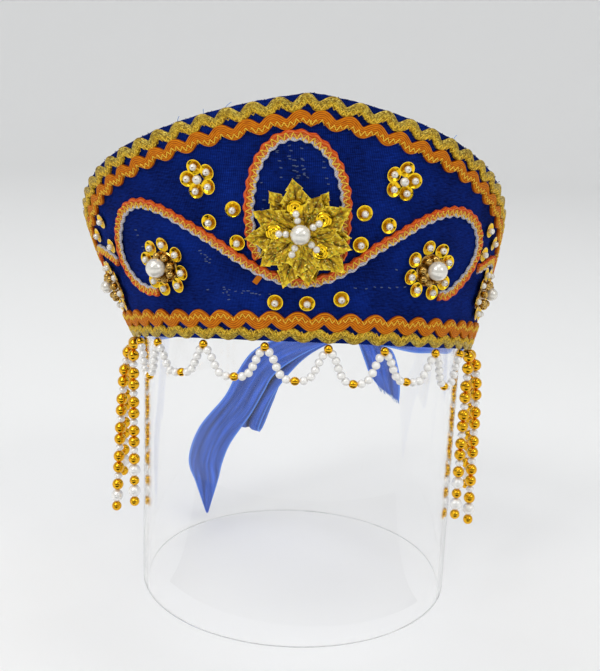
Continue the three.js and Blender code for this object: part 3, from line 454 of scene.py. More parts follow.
# Painted shade: the lay's third part is low in the grooves, which turns the orange brown red there.
tone = add(tree, "Math", {0: split.outputs[2], 1: 0.6, 2: mottle.outputs["Fac"]}, operation="MULTIPLY_ADD")
tone = add(tree, "MapRange", {0: tone.outputs[0], 1: 0.4, 2: 1.1})
dye_and_groove_shade = add(tree, "Mix", {0: tone.outputs[0], 6: srgb("#8C3402"), 7: srgb("#D98208")}, data_type="RGBA")
relief = add(tree, "Bump", {"Height": mottle.outputs["Fac"], "Strength": 0.3, "Distance": 0.2 * MM})
add(tree, shader, {"Base Color": dye_and_groove_shade.outputs[2], "Normal": relief.outputs[0]})
# Gold sewing thread: a bright yellow metallic line.
gold_thread = mottled("gold_sewing_thread", {"Metallic": 0.25, "Roughness": 0.4}, 0.6, ("#D6A010", "#FFE04A"))

bottom_degree = float(degree_length(0.0, 0.0))
for node, inset, tall, band, crest, pitch_before, pitch_after, ribs in TRIMS:
    is_top = "top" in node
    finish = node.split("_")[-1]
    lap, rib_depth = (LAP, 0.2) if finish == "orange" else (0.0, 0.14)
    unit = 1.0 if is_top else bottom_degree  # a top trim counts in millimetres, a bottom one in degrees
    length = edge_gone[-1] if is_top else 2 * PANEL_END_ANGLE * bottom_degree
    first = length / 2 + crest * unit
    to_edge = 1.0 if is_top else -1.0

    def trim_point(along, rise, height):
        along = np.clip(along, 0.0, length)
        if is_top:
            return on_panel(*inside_edge(along, inset - rise), height)
        return on_panel(along / bottom_degree - PANEL_END_ANGLE, inset + rise, height)

    def wave(along):
        gone = (along - first) / unit
        return tall * np.cos(2 * math.pi * gone / np.where(gone < 0, pitch_before, pitch_after))

    along = np.linspace(0, length, round(length / TRIM_STEP))
    tightest = tall * (2 * math.pi / (pitch_after * unit)) ** 2 * band / 2
    slope = np.gradient(wave(along), along)
    lean_of_braid = np.arctan(min(1.0, TRIM_TURN / tightest) * slope)[:, None]
    across = np.linspace(-1, 1, 5 * ribs + 1)
    groove = 0.5 + 0.5 * np.cos(math.pi * ribs * (across + 1) + math.pi)
    crown = TRIM_THICKNESS * (1 - 0.75 * np.abs(across) ** 7) - rib_depth * (1 - groove)
    across = np.concatenate([across, [0.98, -0.98]])
    crown = np.concatenate([crown, [-0.2 - lap, -0.2 - lap]])
    groove = np.concatenate([groove, [0.0, 0.0]])
    aside = band / 2 * across[None]
    rings = trim_point(along[:, None] - aside * np.sin(lean_of_braid),
                       wave(along)[:, None] + aside * np.cos(lean_of_braid), GAP + lap + crown[None])
    # The lay's third part is the ribs' height share, which the orange finish reads as painted shade in the grooves.
    lay = np.stack([np.broadcast_to(to_edge * aside, rings.shape[:2]),
                    np.broadcast_to(along[:, None], rings.shape[:2]),
                    np.broadcast_to(groove[None], rings.shape[:2])], -1)
    skins = [skin(rings, 0, "capped", lay)]
    stitch = np.arange(2, length - 2, 0.4)
    rise = STITCH_REACH * (2 / math.pi) * np.arcsin(np.sin(2 * math.pi * stitch / STITCH_PITCH))
    rise += 0.4 * np.sin(stitch * 0.11 + inset) + 0.4 * wave(stitch) - to_edge * STITCH_INSIDE
    on_braid = np.abs(rise - wave(stitch)) < band / 2
    height = np.where(on_braid, GAP + lap + TRIM_THICKNESS + 0.05, 0.25)
    height = np.convolve(np.pad(height, 1, "edge"), [0.25, 0.5, 0.25], "valid")
    path = trim_point(stitch, rise, height)
    out = out_of_panel(np.interp(stitch, edge_gone, edge_angle) if is_top
                       else stitch / bottom_degree - PANEL_END_ANGLE)
    skins.append(cord(path, 0.25, out, 5, 1))
    trim = make_mesh(node + "_braid", skins, [lurex if finish == "gold" else rayon, gold_thread], 70)
    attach(trim, "root")
    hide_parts(node)

# Scroll braid
# A narrow three-colour braid: a red-orange cord, an orange band with a gold zigzag and a white cord on the
# other side. It is couched down in scrolls, a tall loop and two side curls.
BRAID_STEP = 0.6
BRAID_SCALLOP = 6.2
BRAID_ZIGZAG = 3.4
BRAID_ZIGZAG_REACH = 1.8
CUT_END = ((-11.0, 36.2), (-13.1, 31.0))  # angle and slant of the loop's raw end, under the scroll
BRAIDS = {
    "scroll_braid": [
        (-44.3, 26.6), (-49, 27.6), (-53.5, 32.5), (-56.5, 43), (-55.7, 54), (-52.3, 64.5), (-48, 72),
        (-43, 74.5), (-37, 70.7), (-30, 62), (-24, 54), (-18.5, 46.2), (-13, 39), (-7, 34), (-1.3, 31.8),
        (5, 34), (12, 41.2), (18, 50.5), (24, 58.5), (30.5, 66.8), (37, 72.3), (43, 73.6), (49, 70.3),
        (53.7, 63), (55.3, 54), (53.3, 43.5), (49, 35), (45, 29.6), (41.2, 28.9)],
    "loop_braid": [
        (-11.6, 43.8), (-13.2, 52.5), (-13.5, 62), (-13.4, 72), (-12.5, 82), (-11, 91.4), (-8.5, 99.4),
        (-5.6, 103.9), (-2.5, 105), (0.5, 103.3), (3.4, 98.6), (5.8, 92), (7.5, 84.9), (8.7, 76.5),
        (9.3, 66), (9.3, 56), (8.8, 44)],
    "side_braid_left": [(-60.2, 44.4), (-64, 48.5), (-68.5, 52), (-72.5, 53.6), (-76, 51.8), (-77.8, 47.8),
                        (-78, 44.4)],
    "side_braid_right": [(58.6, 45.4), (63, 48.2), (68, 51.6), (72.5, 52.4), (76, 50.2), (77.8, 47),
                         (78, 44.2)],
}
BRAID_PROFILE = [  # across, from the white cord to the red-orange one, and height
    (-2.7, 0.1), (-2.8, 0.7), (-2.4, 1.3), (-2.0, 1.4), (-1.6, 1.2), (-1.3, 0.85), (-0.7, 1.0), (0.1, 1.05),
    (0.5, 0.9), (0.9, 1.35), (1.5, 1.9), (2.1, 1.8), (2.5, 1.1), (2.6, 0.1)]


def smooth_line(points, spans=24):
    """A smooth line through points, as a centripetal Catmull-Rom curve."""
    points = np.asarray(points, float)
    ends = np.vstack([2 * points[0] - points[1], points, 2 * points[-1] - points[-2]])
    gaps = np.sum(np.diff(ends, axis=0) ** 2, axis=1) ** 0.25
    share = np.linspace(0, 1, spans, endpoint=False)[:, None]
    line = []
    for a, b, c, d, ab, bc, cd in zip(ends, ends[1:], ends[2:], ends[3:], gaps, gaps[1:], gaps[2:]):
        leave = ((b - a) / ab - (c - a) / (ab + bc) + (c - b) / bc) * bc
        arrive = ((c - b) / bc - (d - b) / (bc + cd) + (d - c) / cd) * bc
        line.append(b + leave * share + (3 * (c - b) - 2 * leave - arrive) * share ** 2
                    + (2 * (b - c) + leave + arrive) * share ** 3)
    return np.vstack([*line, points[-1:]])


def even_steps(line, step, measured=None):
    """The line again in equal steps, with the distance of each, measured along other points if given."""
    measured = line if measured is None else measured
    gone = np.concatenate([[0], np.cumsum(np.linalg.norm(np.diff(measured, axis=0), axis=1))])
    at = np.linspace(0, gone[-1], max(2, round(gone[-1] / step) + 1))
    return np.stack([np.interp(at, gone, line[:, k]) for k in range(line.shape[1])], 1), at


# Three-colour couching braid: twisted rayon cords, red-orange and lilac white, either side of a woven
# orange middle, with the twist showing as slanting ridges. The white cord is painted darker in the troughs of
# its twist as painted shade, and a pale stripe along the red cord is a painted highlight.
CORD_TWIST = 1.1
CORD_PAINTED_SHINE = 1.6  # across the braid, where the red cord's shine lies
braid_yarn, tree, shader = new_finish("three_colour_braid", {"Roughness": 0.6, "Specular IOR Level": 0.25})
laid = add(tree, "Attribute", attribute_name="Lay").outputs["Vector"]
split = add(tree, "SeparateXYZ", {0: laid})
slanted = add(tree, "VectorRotate", {"Vector": laid, "Angle": math.radians(32)}, rotation_type="Z_AXIS")
twist = add(tree, "TexWave", {"Vector": slanted.outputs[0], "Scale": WAVE_PERIOD / CORD_TWIST,
                              "Distortion": 0.6}, bands_direction="Y")
stripe = add(tree, "TexWave", {"Vector": laid, "Scale": WAVE_PERIOD / 0.8, "Distortion": 0.5},
             bands_direction="X")
edge = add(tree, "MapRange", {0: split.outputs[0], 1: -1.45, 2: -1.25})
red_edge = add(tree, "MapRange", {0: split.outputs[0], 1: 0.4, 2: 0.7})
# Painted shade: the white cord is darker in the troughs of its twist.
white = add(tree, "Mix", {0: twist.outputs["Fac"], 6: srgb("#A09CA4"), 7: srgb("#CAC6CA")}, data_type="RGBA")
inner_band = add(tree, "Mix", {0: stripe.outputs["Fac"], 6: srgb("#AC440C"), 7: srgb("#DE8C50")},
                 data_type="RGBA")
red = add(tree, "Mix", {0: stripe.outputs["Fac"], 6: srgb("#AE3402"), 7: srgb("#E2620A")}, data_type="RGBA")
colour = add(tree, "Mix", {0: edge.outputs[0], 6: white.outputs[2], 7: inner_band.outputs[2]},
             data_type="RGBA")
# Painted highlight: a pale pink stripe along the crest of the red cord.
crest = add(tree, "Math", {0: split.outputs[0], 1: CORD_PAINTED_SHINE, 2: 0.15}, operation="COMPARE")
crest = add(tree, "MapRange", {0: crest.outputs[0], 3: 0.0, 4: 0.4})
red = add(tree, "Mix", {0: crest.outputs[0], 6: red.outputs[2], 7: srgb("#F4A468")}, data_type="RGBA")
colour = add(tree, "Mix", {0: red_edge.outputs[0], 6: colour.outputs[2], 7: red.outputs[2]},
             data_type="RGBA")
relief = add(tree, "Bump", {"Height": twist.outputs["Fac"], "Strength": 0.25, "Distance": 0.25 * MM})
add(tree, shader, {"Base Color": colour.outputs[2], "Normal": relief.outputs[0]})

braid_profile = smooth_line(BRAID_PROFILE, 3)
for node, places in BRAIDS.items():
    line = smooth_line(places)
    line, gone = even_steps(line, BRAID_STEP, on_panel(line[:, 0], line[:, 1]))
    middle_line = on_panel(line[:, 0], line[:, 1])
    out = out_of_panel(line[:, 0])
    ahead_way = np.gradient(middle_line, axis=0)
    left_way = np.cross(out, ahead_way)
    left_way /= np.linalg.norm(left_way, axis=1, keepdims=True)
    scallop = np.sin(2 * math.pi * gone / BRAID_SCALLOP)[:, None]
    sway = 0.45 * np.clip(np.abs(braid_profile[None, :, 0]) - 0.3, 0, 1)
    across = braid_profile[None, :, 0] + scallop * sway
    height = GAP + braid_profile[None, :, 1] * np.ones((len(gone), 1))
    rings = (middle_line[:, None] + left_way[:, None] * across[..., None] + out[:, None] * height[..., None])
    twisted = braid_profile[None, :, 0] + 0.55 * np.sin(2 * math.pi * gone / BRAID_SCALLOP + 1.2)[:, None]
    lay = np.stack([twisted, np.broadcast_to(gone[:, None], across.shape), np.zeros(across.shape)], -1)
    skins = [skin(rings, 0, "capped", lay)]
    fine = np.arange(0.6, gone[-1] - 0.6, 0.3)
    zig = -0.35 + 0.5 * np.sin(fine * 0.13)
    zig += BRAID_ZIGZAG_REACH * (2 / math.pi) * np.arcsin(np.sin(2 * math.pi * fine / BRAID_ZIGZAG))
    lift = np.interp(zig, braid_profile[3:-3, 0], braid_profile[3:-3, 1]) + GAP + 0.14
    here = [np.stack([np.interp(fine, gone, way[:, k]) for k in range(3)], 1)
            for way in (middle_line, left_way, out)]
    path = here[0] + here[1] * zig[:, None] + here[2] * lift[:, None]
    skins.append(cord(path, 0.3, here[2], 5, 1))
    if node == "loop_braid":
        steps = np.linspace(0, 1, 9)
        for aside in np.linspace(-1, 1, 5):
            path = on_panel(CUT_END[0][0] + (CUT_END[1][0] - CUT_END[0][0]) * steps + 0.45 * aside,
                            CUT_END[0][1] + (CUT_END[1][1] - CUT_END[0][1]) * steps - 0.6 * aside,
                            GAP + 0.35 + 0.25 * steps)
            skins.append(cord(path, 0.4, out_of_panel(CUT_END[0][0]), 6, 2, np.array([aside, 0.0, 0.5])))
    braid = make_mesh(node + "_couched", skins, [braid_yarn, gold_thread, rayon], 70)
    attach(braid, "root")
    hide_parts(node)

# Sequins
# Gold cup sequins, pressed from metallised film in six facets. Each is sewn down through a small pearl.
SEQUIN_RADIUS = 4.0
SEQUIN_FLAT = 1.9
SEQUIN_CUP = 1.15
SEQUIN_FACETS = 6
FILM = 0.14
SMALL_PEARL = 1.75
SMALL_PEARL_HOLE = 0.55
SEQUIN_PEARL_RISE = 2.0
SEQUINS = [
    (-17.2, 68.7), (-23.4, 62.6), (-16.8, 52), (13.6, 68.3), (20.3, 62.8), (13.6, 52.4), (-7.7, 21.3),
    (0.9, 21.3), (10.1, 24.1), (-61.2, 68), (-67.8, 61.2), (-60.4, 53.8), (59.5, 67.5), (66.1, 61.5),
    (59.8, 54.2)]


def moved(skins, turn=0.0, tilt=0.0, tilt_way=0.0, place=(0.0, 0.0, 0.0)):
    """Skins tilted away from one way, turned about +Z and then shifted."""
    axis = Vector((-math.sin(tilt_way), math.cos(tilt_way), 0))
    motion = Matrix.Rotation(turn, 3, "Z") @ Matrix.Rotation(tilt, 3, axis)
    motion = np.array(motion)
    return [(points @ motion.T + np.asarray(place), faces, material, lay)
            for points, faces, material, lay in skins]


def sewn(skins, angle, slant):
    """Skins made flat, with +Z out of the cloth, moved to their place on the panel's face."""
    out = out_of_panel(angle)
    ahead_way = on_panel(angle + 0.01, slant) - on_panel(angle - 0.01, slant)
    ahead_way = ahead_way - out * float(ahead_way @ out)
    ahead_way /= np.linalg.norm(ahead_way)
    axes = np.array([ahead_way, np.cross(out, ahead_way), out])
    return [(on_panel(angle, slant) + points @ axes, faces, material, lay)
            for points, faces, material, lay in skins]


def pearl_skin(radius, hole, material, sides=24, bands=13, length=None):
    """A round bead along +Z, with a dimple at each end where its thread fills the hole."""
    edge = math.acos(hole / radius)
    latitude = np.linspace(-edge, edge, bands)
    half = radius * math.sin(edge) if length is None else length / 2
    rise = half * np.sin(latitude) / math.sin(edge)
    profile = [(radius * math.cos(a), z) for a, z in zip(latitude, rise)]
    profile = [(hole * 0.4, -half * 0.86), *profile, (hole * 0.4, half * 0.86)]
    tone = np.zeros((len(profile), 1, 3))
    tone[[0, -1], 0, 2] = 1
    return turned(profile, sides, "capped", material, tone)


def sequin_skins(turn):
    """A cup sequin: a flat six-sided foot, facets up to a round rim, and a thin turned lip."""
    way = np.linspace(0, 2 * math.pi, 36, endpoint=False)
    facet = 2 * math.pi / SEQUIN_FACETS
    corner = math.cos(facet / 2) / np.cos((way % facet) - facet / 2)
    # The last column, tone, is painted light: low in the cup for painted shade, high on the lip for a painted
    # highlight.
    levels = [  # radius, height, share of the six-sided form, tone
        (0.45, 0.1, 0, 0.0), (SEQUIN_FLAT, 0.1, 1, 0.0), (SEQUIN_FLAT + 0.12, 0.14, 1, 0.15),
        (3.35, SEQUIN_CUP - 0.15, 0.35, 0.6), (3.65, SEQUIN_CUP, 0.1, 1.0), (SEQUIN_RADIUS, SEQUIN_CUP + 0.02, 0, 1.0)]
    levels += [(r, z - FILM, s, t) for r, z, s, t in reversed(levels)]
    rings = np.array([np.stack([r * (1 + s * (corner - 1)) * np.cos(way),
                                r * (1 + s * (corner - 1)) * np.sin(way),
                                np.full(36, z)], -1) for r, z, s, _ in levels])
    lay = np.array([np.full((36, 3), (0.0, 0.0, t)) for *_, t in levels])
    return moved([skin(rings, 0, "joined", lay)], turn)


# Metallised film: a mirror-bright gold lip, brighter by a painted highlight, round a cup made a darker amber
# by painted shade.
sequin_film, tree, shader = new_finish("metallised_sequin_film", {"Metallic": 1.0, "Roughness": 0.15})
laid = add(tree, "Attribute", attribute_name="Lay").outputs["Vector"]
split = add(tree, "SeparateXYZ", {0: laid})
rub = blotches(tree, 1.4)
# Painted light: the tone runs from painted shade in the cup to a painted highlight on the lip.
tone = add(tree, "Math", {0: rub, 1: 0.3, 2: split.outputs[2]}, operation="MULTIPLY_ADD")
tone = add(tree, "MapRange", {0: tone.outputs[0], 1: 0.1, 2: 1.2})
gilt = add(tree, "Mix", {0: tone.outputs[0], 6: srgb("#E6AE1A"), 7: srgb("#FFD52A")}, data_type="RGBA")
relief = add(tree, "Bump", {"Height": rub, "Strength": 0.12, "Distance": 0.2 * MM})
add(tree, shader, {"Base Color": gilt.outputs[2], "Normal": relief.outputs[0]})
# Imitation pearl: white glass dipped in essence, with a soft lustre under a clear gloss, and an amber
# shade in the thread hole.
pearl, tree, shader = new_finish("imitation_pearl", {
    "Metallic": 0.3, "Roughness": 0.26, "Coat Weight": 1.0, "Coat Roughness": 0.05, "IOR": 1.53,
    "Sheen Weight": 0.4, "Sheen Roughness": 0.3})
laid = add(tree, "Attribute", attribute_name="Lay").outputs["Vector"]
split = add(tree, "SeparateXYZ", {0: laid})
lustre = add(tree, "Mix", {0: blotches(tree, 3.5), 6: srgb("#DAD5CA"), 7: srgb("#F0EDE4")}, data_type="RGBA")
holed = add(tree, "Mix", {0: split.outputs[2], 6: lustre.outputs[2], 7: srgb("#A87A3A")}, data_type="RGBA")
add(tree, shader, {"Base Color": holed.outputs[2]})

for k, (angle, slant) in enumerate(SEQUINS):
    small = moved([pearl_skin(SMALL_PEARL, SMALL_PEARL_HOLE, 1)], 0, chance.normal(0.5, 0.3),
                  chance.uniform(0, 6.28), (0, -0.3, SEQUIN_PEARL_RISE))
    cup = moved(sequin_skins(chance.uniform(0, 1)), 0, chance.normal(0, 0.06), chance.uniform(0, 6.28))
    skins = moved(small + cup, 0, 0, 0, (0, 0, GAP))
    sequin = make_mesh("cup_sequin_%02d" % (k + 1), sewn(skins, angle, slant), [sequin_film, pearl], 16)
    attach(sequin, "root")
    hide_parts("sequin_%02d" % (k + 1))

# Sequin flowers
# Five of the same sequins sewn edge to edge round one larger pearl, on the blue cloth beside the loop.
FLOWER_RING = 6.3
FLOWER_TILT = 0.16
CENTRE_PEARL = 2.25
SEQUIN_FLOWERS = [("sequin_flower_left", -24.4, 84.4, 105), ("sequin_flower_right", 22, 85.4, 80)]
for node, angle, slant, turn in SEQUIN_FLOWERS:
    skins = moved([pearl_skin(CENTRE_PEARL, 0.45, 1)], 0, 0.3, 1.0, (0, 0, 2.9))
    for k in range(5):
        way = math.radians(turn + 72 * k)
        petal = moved(sequin_skins(chance.uniform(0, 1)), 0, -FLOWER_TILT, way)
        petal += moved([pearl_skin(SMALL_PEARL, SMALL_PEARL_HOLE, 1)], 0, chance.normal(0, 0.3), 0,
                       (0, 0, SEQUIN_PEARL_RISE))
        skins += moved(petal, 0, 0, 0, (FLOWER_RING * math.cos(way), FLOWER_RING * math.sin(way), 0.2))
    skins = moved(skins, 0, 0, 0, (0, 0, GAP))
    flower = make_mesh(node + "_sewn", sewn(skins, angle, slant), [sequin_film, pearl], 16)
    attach(flower, "root")
    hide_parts(node)

# Rosettes
# Eight sequins lying flat in a ring, each with its pearl, round a ring of antique gold beads. A large
# pearl stands on the beads.
ROSETTE_BEAD = 2.1
ROSETTE_BEAD_RING = 6.4
ROSETTE_BEAD_HEIGHT = 3.6
ROSETTE_BASE = 8.6
ROSETTES = [  # side, angle, slant, petal directions and ring radius, pearl radius, pearl height
    ("left", -39.2, 40.1, (-142, -107, -57, -16, 31, 77, 123, 159), 12.2, 5.0, 7.6),
    ("right", 35.4, 41.6, (107, 64, 25, -27, -67, -121, -160, 157), 12.3, 5.0, 7.6),
    ("far_left", -71, 31.5, tuple(22.5 + 45 * k for k in range(8)), 12.0, 3.5, 6.1),
    ("far_right", 70, 32.6, tuple(22.5 + 45 * k for k in range(8)), 12.0, 3.5, 6.1),
]
# Antique gold plating: dull yellow brown metal, darker and duller in blotches.
antique, tree, shader = new_finish("antique_gold_plating", {"Metallic": 1.0})
tarnish = blotches(tree, 1.2, 3.0)
tone = add(tree, "MapRange", {0: tarnish, 1: 0.3, 2: 0.7})
plated = add(tree, "Mix", {0: tone.outputs[0], 6: srgb("#987230"), 7: srgb("#E2BA68")}, data_type="RGBA")
worn = add(tree, "MapRange", {0: tarnish, 3: 0.3, 4: 0.18})
add(tree, shader, {"Base Color": plated.outputs[2], "Roughness": worn.outputs[0]})

for side, angle, slant, petals, ring, radius, height in ROSETTES:
    skins = moved([turned([(0.05, 0), (ROSETTE_BASE, 0), (ROSETTE_BASE, 0.6), (ROSETTE_BASE - 0.6, 1.2),
                           (0.05, 1.4)], 32, "capped", 2)], 0, 0, 0, (0, 0, GAP))
    for k, degrees in enumerate(petals):
        way = math.radians(degrees)
        petal = moved(sequin_skins(chance.uniform(0, 1)), 0, -0.05 + chance.normal(0, 0.06), way)
        petal += moved([pearl_skin(SMALL_PEARL, SMALL_PEARL_HOLE, 1)], 0, chance.normal(0, 0.25),
                       chance.uniform(0, 6.28), (0, 0, SEQUIN_PEARL_RISE))
        skins += moved(petal, 0, 0, 0, (ring * math.cos(way), ring * math.sin(way), GAP + 0.25 * (k % 2)))
        between = way + math.radians(22)
        bead = moved([pearl_skin(ROSETTE_BEAD, 0.6, 2)], 0, 1.3 + chance.normal(0, 0.2),
                     between + math.pi / 2)
        skins += moved(bead, 0, 0, 0, (ROSETTE_BEAD_RING * math.cos(between),
                                       ROSETTE_BEAD_RING * math.sin(between), ROSETTE_BEAD_HEIGHT))
    rosette = make_mesh("rosette_%s_sewn" % side, sewn(skins, angle, slant), [sequin_film, pearl, antique], 16)
    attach(rosette, "root")
    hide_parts("rosette_" + side)
    crown_pearl = moved([pearl_skin(radius, 0.5, 0, 40, 24)], 0, 1.4, 2.2, (0, 1.2, height))
    top_pearl = make_mesh("rosette_%s_top_pearl" % side, sewn(crown_pearl, angle, slant), [pearl])
    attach(top_pearl, "root")
    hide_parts("rosette_pearl_" + side)

# Flower leaves
# Three layers of five broad leaves, stamped from crushed gold lamé on stiff cloth, with a toothed edge, a drawn
# out tip and pressed veins. They are sewn through the middle, one layer over the other.
FLOWER_PLACE = (-1.3, 56.3)
LEAF_BOWL = 0.0042
LEAF_SHEET = 0.4
LEAF_TEETH = 5
LEAF_VEIN = 5.0
LEAF_FOLD = 0.16  # how far the halves rise from the midrib, as a slope
LEAF_WIDER = 1.28  # the stamped blank is this much wider than the flat part of a leaf
LEAF_LAYERS = {  # height, then turn, length and width of each leaf
    "back": (1.0, [(126, 27.3, 12), (60, 25.8, 12), (-1, 24.9, 11), (-72, 24.6, 11), (-150, 23.5, 11)]),
    "middle": (2.1, [(99.5, 29, 13), (31.6, 28.5, 13), (-38, 28.5, 13), (-107, 27.5, 13), (-176, 27.5, 13)]),
    "front": (3.2, [(153, 26.5, 12), (66, 23, 11), (-12, 25.9, 12), (-79, 25, 12), (-142, 24.6, 12)]),
}
# Gold lamé: crushed metallic cloth, with a painted highlight, bright yellow, along the cut edge and on the
# ridges of the folds, painted shade, olive brown, in the creases, the midrib and the veins, and painted glints
# of green, orange and yellow.
GLINT = 0.6
lame, tree, shader = new_finish("gold_lame", {"Metallic": 0.6, "Roughness": 0.36})
laid = add(tree, "Attribute", attribute_name="Lay").outputs["Vector"]
split = add(tree, "SeparateXYZ", {0: laid})
cells = add(tree, "TexVoronoi", {"Vector": laid, "Scale": 1 / GLINT})
chip = add(tree, "SeparateColor", {0: cells.outputs["Color"]})
leaf_way = add(tree, "VectorMath", {0: laid, 1: (1 / 1.3, 1 / 4.2, 0.0)}, operation="MULTIPLY")
crush = add(tree, "TexNoise", {"Vector": leaf_way.outputs[0], "Scale": 1.0, "Detail": 3.0, "Distortion": 0.8})
tone = add(tree, "Math", {0: crush.outputs["Fac"], 1: 1.3, 2: split.outputs[2]}, operation="MULTIPLY_ADD")
tone = add(tree, "MapRange", {0: tone.outputs[0], 1: 0.45, 2: 1.6})
foil = add(tree, "ValToRGB", {0: tone.outputs[0]})
foil.color_ramp.elements[0].color = srgb("#3E2C04")
foil.color_ramp.elements[1].color = srgb("#FFE23C")
foil.color_ramp.elements.new(0.35).color = srgb("#93700E")
foil.color_ramp.elements.new(0.68).color = srgb("#DDB41A")
glint_hue = add(tree, "ValToRGB", {0: chip.outputs[1]})
glint_hue.color_ramp.interpolation = "CONSTANT"
glint_hue.color_ramp.elements[0].color = srgb("#6FA038")
glint_hue.color_ramp.elements[1].color = srgb("#FFE05A")
glint_hue.color_ramp.elements[1].position = 0.7
glint_hue.color_ramp.elements.new(0.3).color = srgb("#D8741E")
glint_hue.color_ramp.elements.new(0.42).color = srgb("#FFF08A")
# Painted glints: a few cells of the foil are painted green, orange or yellow as sparkle.
glint = add(tree, "MapRange", {0: chip.outputs[0], 1: 0.84, 2: 0.88, 3: 0.0, 4: 0.7})
coloured = add(tree, "Mix", {0: glint.outputs[0], 6: foil.outputs[0], 7: glint_hue.outputs[0]},
               data_type="RGBA")
height_mix = add(tree, "Math", {0: chip.outputs[2], 1: 0.4, 2: crush.outputs["Fac"]},
                 operation="MULTIPLY_ADD")
relief = add(tree, "Bump", {"Height": height_mix.outputs[0], "Strength": 0.9, "Distance": 0.7 * MM})
add(tree, shader, {"Base Color": coloured.outputs[2], "Normal": relief.outputs[0]})


def creases(across, along):
    """Small folds of crushed cloth that run several ways, from 0 up."""
    total = np.zeros(across.shape)
    for size in (7.0, 4.4, 2.9):
        way, start = chance.uniform(0, math.pi), chance.uniform(0, 6)
        line = (across * math.cos(way) + along * math.sin(way)) * math.pi / size + start
        total += 0.05 * size * (1 - np.abs(np.sin(line + 0.6 * np.sin(0.4 * along + start))))
    return total


def leaf_skin(turn, length, width, height, lift):
    """One stamped leaf that lies along its turn: toothed edge, midrib and slanting side veins."""
    share = np.linspace(0, 1, 72)[:, None]
    across = np.linspace(-1, 1, 29)[None]
    reach = share * length
    ovate = share ** 0.7 * (1 - share) ** 1.1 / 0.3
    belly = np.maximum(width * LEAF_WIDER * ovate, 4 * (1 - share) ** 2)
    start = chance.uniform(0, 1)
    tooth = ((share * LEAF_TEETH + start) % 1) * 0.26 * np.clip(share * 6 - 1, 0, 1)
    half = np.maximum(belly / 2 * (1.1 - tooth), 0.2)
    side = across * half
    vein = np.cos(2 * math.pi * (reach - 1.5 * np.abs(side)) / LEAF_VEIN)
    vein = np.clip(vein, 0, 1) ** 8 * np.clip(share * 4, 0, 1) * (1 - share ** 4) * np.abs(across) ** 0.3
    rib = np.exp(-(side / 0.55) ** 2) * (1 - share ** 3)
    crease = creases(side + 0 * reach, reach + 0 * side)
    curl = 0.9 * across ** 2 * np.sin(reach * 0.5 + turn) * share
    fold = LEAF_FOLD * np.abs(side) * np.clip(share * 3, 0, 1)
    rise = height + LEAF_BOWL * (reach ** 2 + side ** 2) + lift * share ** 2 + curl + fold
    rise = rise - 0.7 * rib - 0.5 * vein + crease - 0.7
    top = np.stack([reach + 0 * side, side, rise], -1)
    under = top - np.array([0, 0, LEAF_SHEET])
    rim = np.maximum(np.abs(across) ** 9, share ** 12)
    # Painted light in the tone: painted shade in the midrib, the veins and low in the folds, and a painted highlight
    # along the cut edge and on the ridges of the folds.
    tone = 0.49 - 0.7 * np.clip(rib + vein, 0, 1) + 0.9 * rim + 0.9 * (crease - 0.3)
    lay = np.stack([side + turn, reach + 0 * side + 40 * height, tone], -1)
    rings = np.concatenate([top, under[:, ::-1]], 1)
    return moved([skin(rings, 0, "capped", np.concatenate([lay, lay[:, ::-1]], 1))], math.radians(turn))


for layer, (height, leaves) in LEAF_LAYERS.items():
    skins = [turned([(0.05, height - 0.6), (4.4, height - 0.6), (4.4, height + 0.3), (0.05, height + 0.4)], 24)]
    for turn, length, width in leaves:
        skins += leaf_skin(turn, length, width, height + LEAF_SHEET, chance.uniform(-0.4, 1.2))
    leaves_piece = make_mesh("lame_leaves_" + layer, sewn(skins, *FLOWER_PLACE), [lame], 50)
    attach(leaves_piece, "root")
    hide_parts("flower_leaves_" + layer)

# Stamens
# Five threads rise from the flower's middle, each through two small pearls. All but one end in a flat ring
# sequin that lies on the leaves under the outer pearl, and one large pearl stands in the middle.
STAMEN_TURNS = (104, 34, -41, -112, 179)
STAMEN_BARE = -112  # the arm that has lost its sequin
STAMEN_FOOT = 5.6
STAMEN_SLOPE = 0.12
STAMEN_PEARLS = (7.2, 10.6)  # reach of the two pearls
STAMEN_REACH = 13.2
STAMEN_SEQUIN_HEIGHT = 5.1
STAMEN_RISE = 1.2  # the middle is sewn a little above the middle of the leaves
RING_SEQUIN = [  # radius and height of a flat sequin pressed in two rings
    (0.75, 0.0), (1.5, 0.12), (1.9, 0.4), (2.3, 0.16), (2.8, 0.2), (3.2, 0.55), (3.6, 0.4), (3.9, 0.2),
    (3.9, 0.06), (3.6, 0.26), (3.2, 0.41), (2.8, 0.06), (2.3, 0.02), (1.9, 0.26), (1.5, -0.02), (0.75, -0.14)]
skins = [turned([(0.05, 4.25), (3.4, 4.25), (3.4, 5.2), (0.05, 5.4)], 20, "capped", 0)]
ring_tone = np.full((len(RING_SEQUIN), 1, 3), 1.0)
for turn in STAMEN_TURNS:
    reach = np.linspace(1.5, STAMEN_REACH - 1.0, 12)
    arm = [cord(np.stack([reach, 0 * reach, STAMEN_FOOT + STAMEN_SLOPE * reach], 1), 0.3, np.array([0, 1.0, 0]), 6, 2)]
    for at in STAMEN_PEARLS:
        bead = moved([pearl_skin(SMALL_PEARL, 0.35, 1)], 0, math.pi / 2 + chance.normal(0, 0.15))
        arm += moved(bead, 0, 0, 0, (at, 0, STAMEN_FOOT + STAMEN_SLOPE * at + 0.5))
    if turn != STAMEN_BARE:
        ring = moved([turned(RING_SEQUIN, 36, "joined", 0, ring_tone)], 0, -0.12, 0.0)
        arm += moved(ring, 0, 0, 0, (STAMEN_REACH, 0, STAMEN_SEQUIN_HEIGHT))
    skins += moved(arm, math.radians(turn), 0, 0, (0, STAMEN_RISE, 0))
stamens = make_mesh("stamen_beads", sewn(skins, *FLOWER_PLACE), [sequin_film, pearl, gold_thread], 16)
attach(stamens, "root")
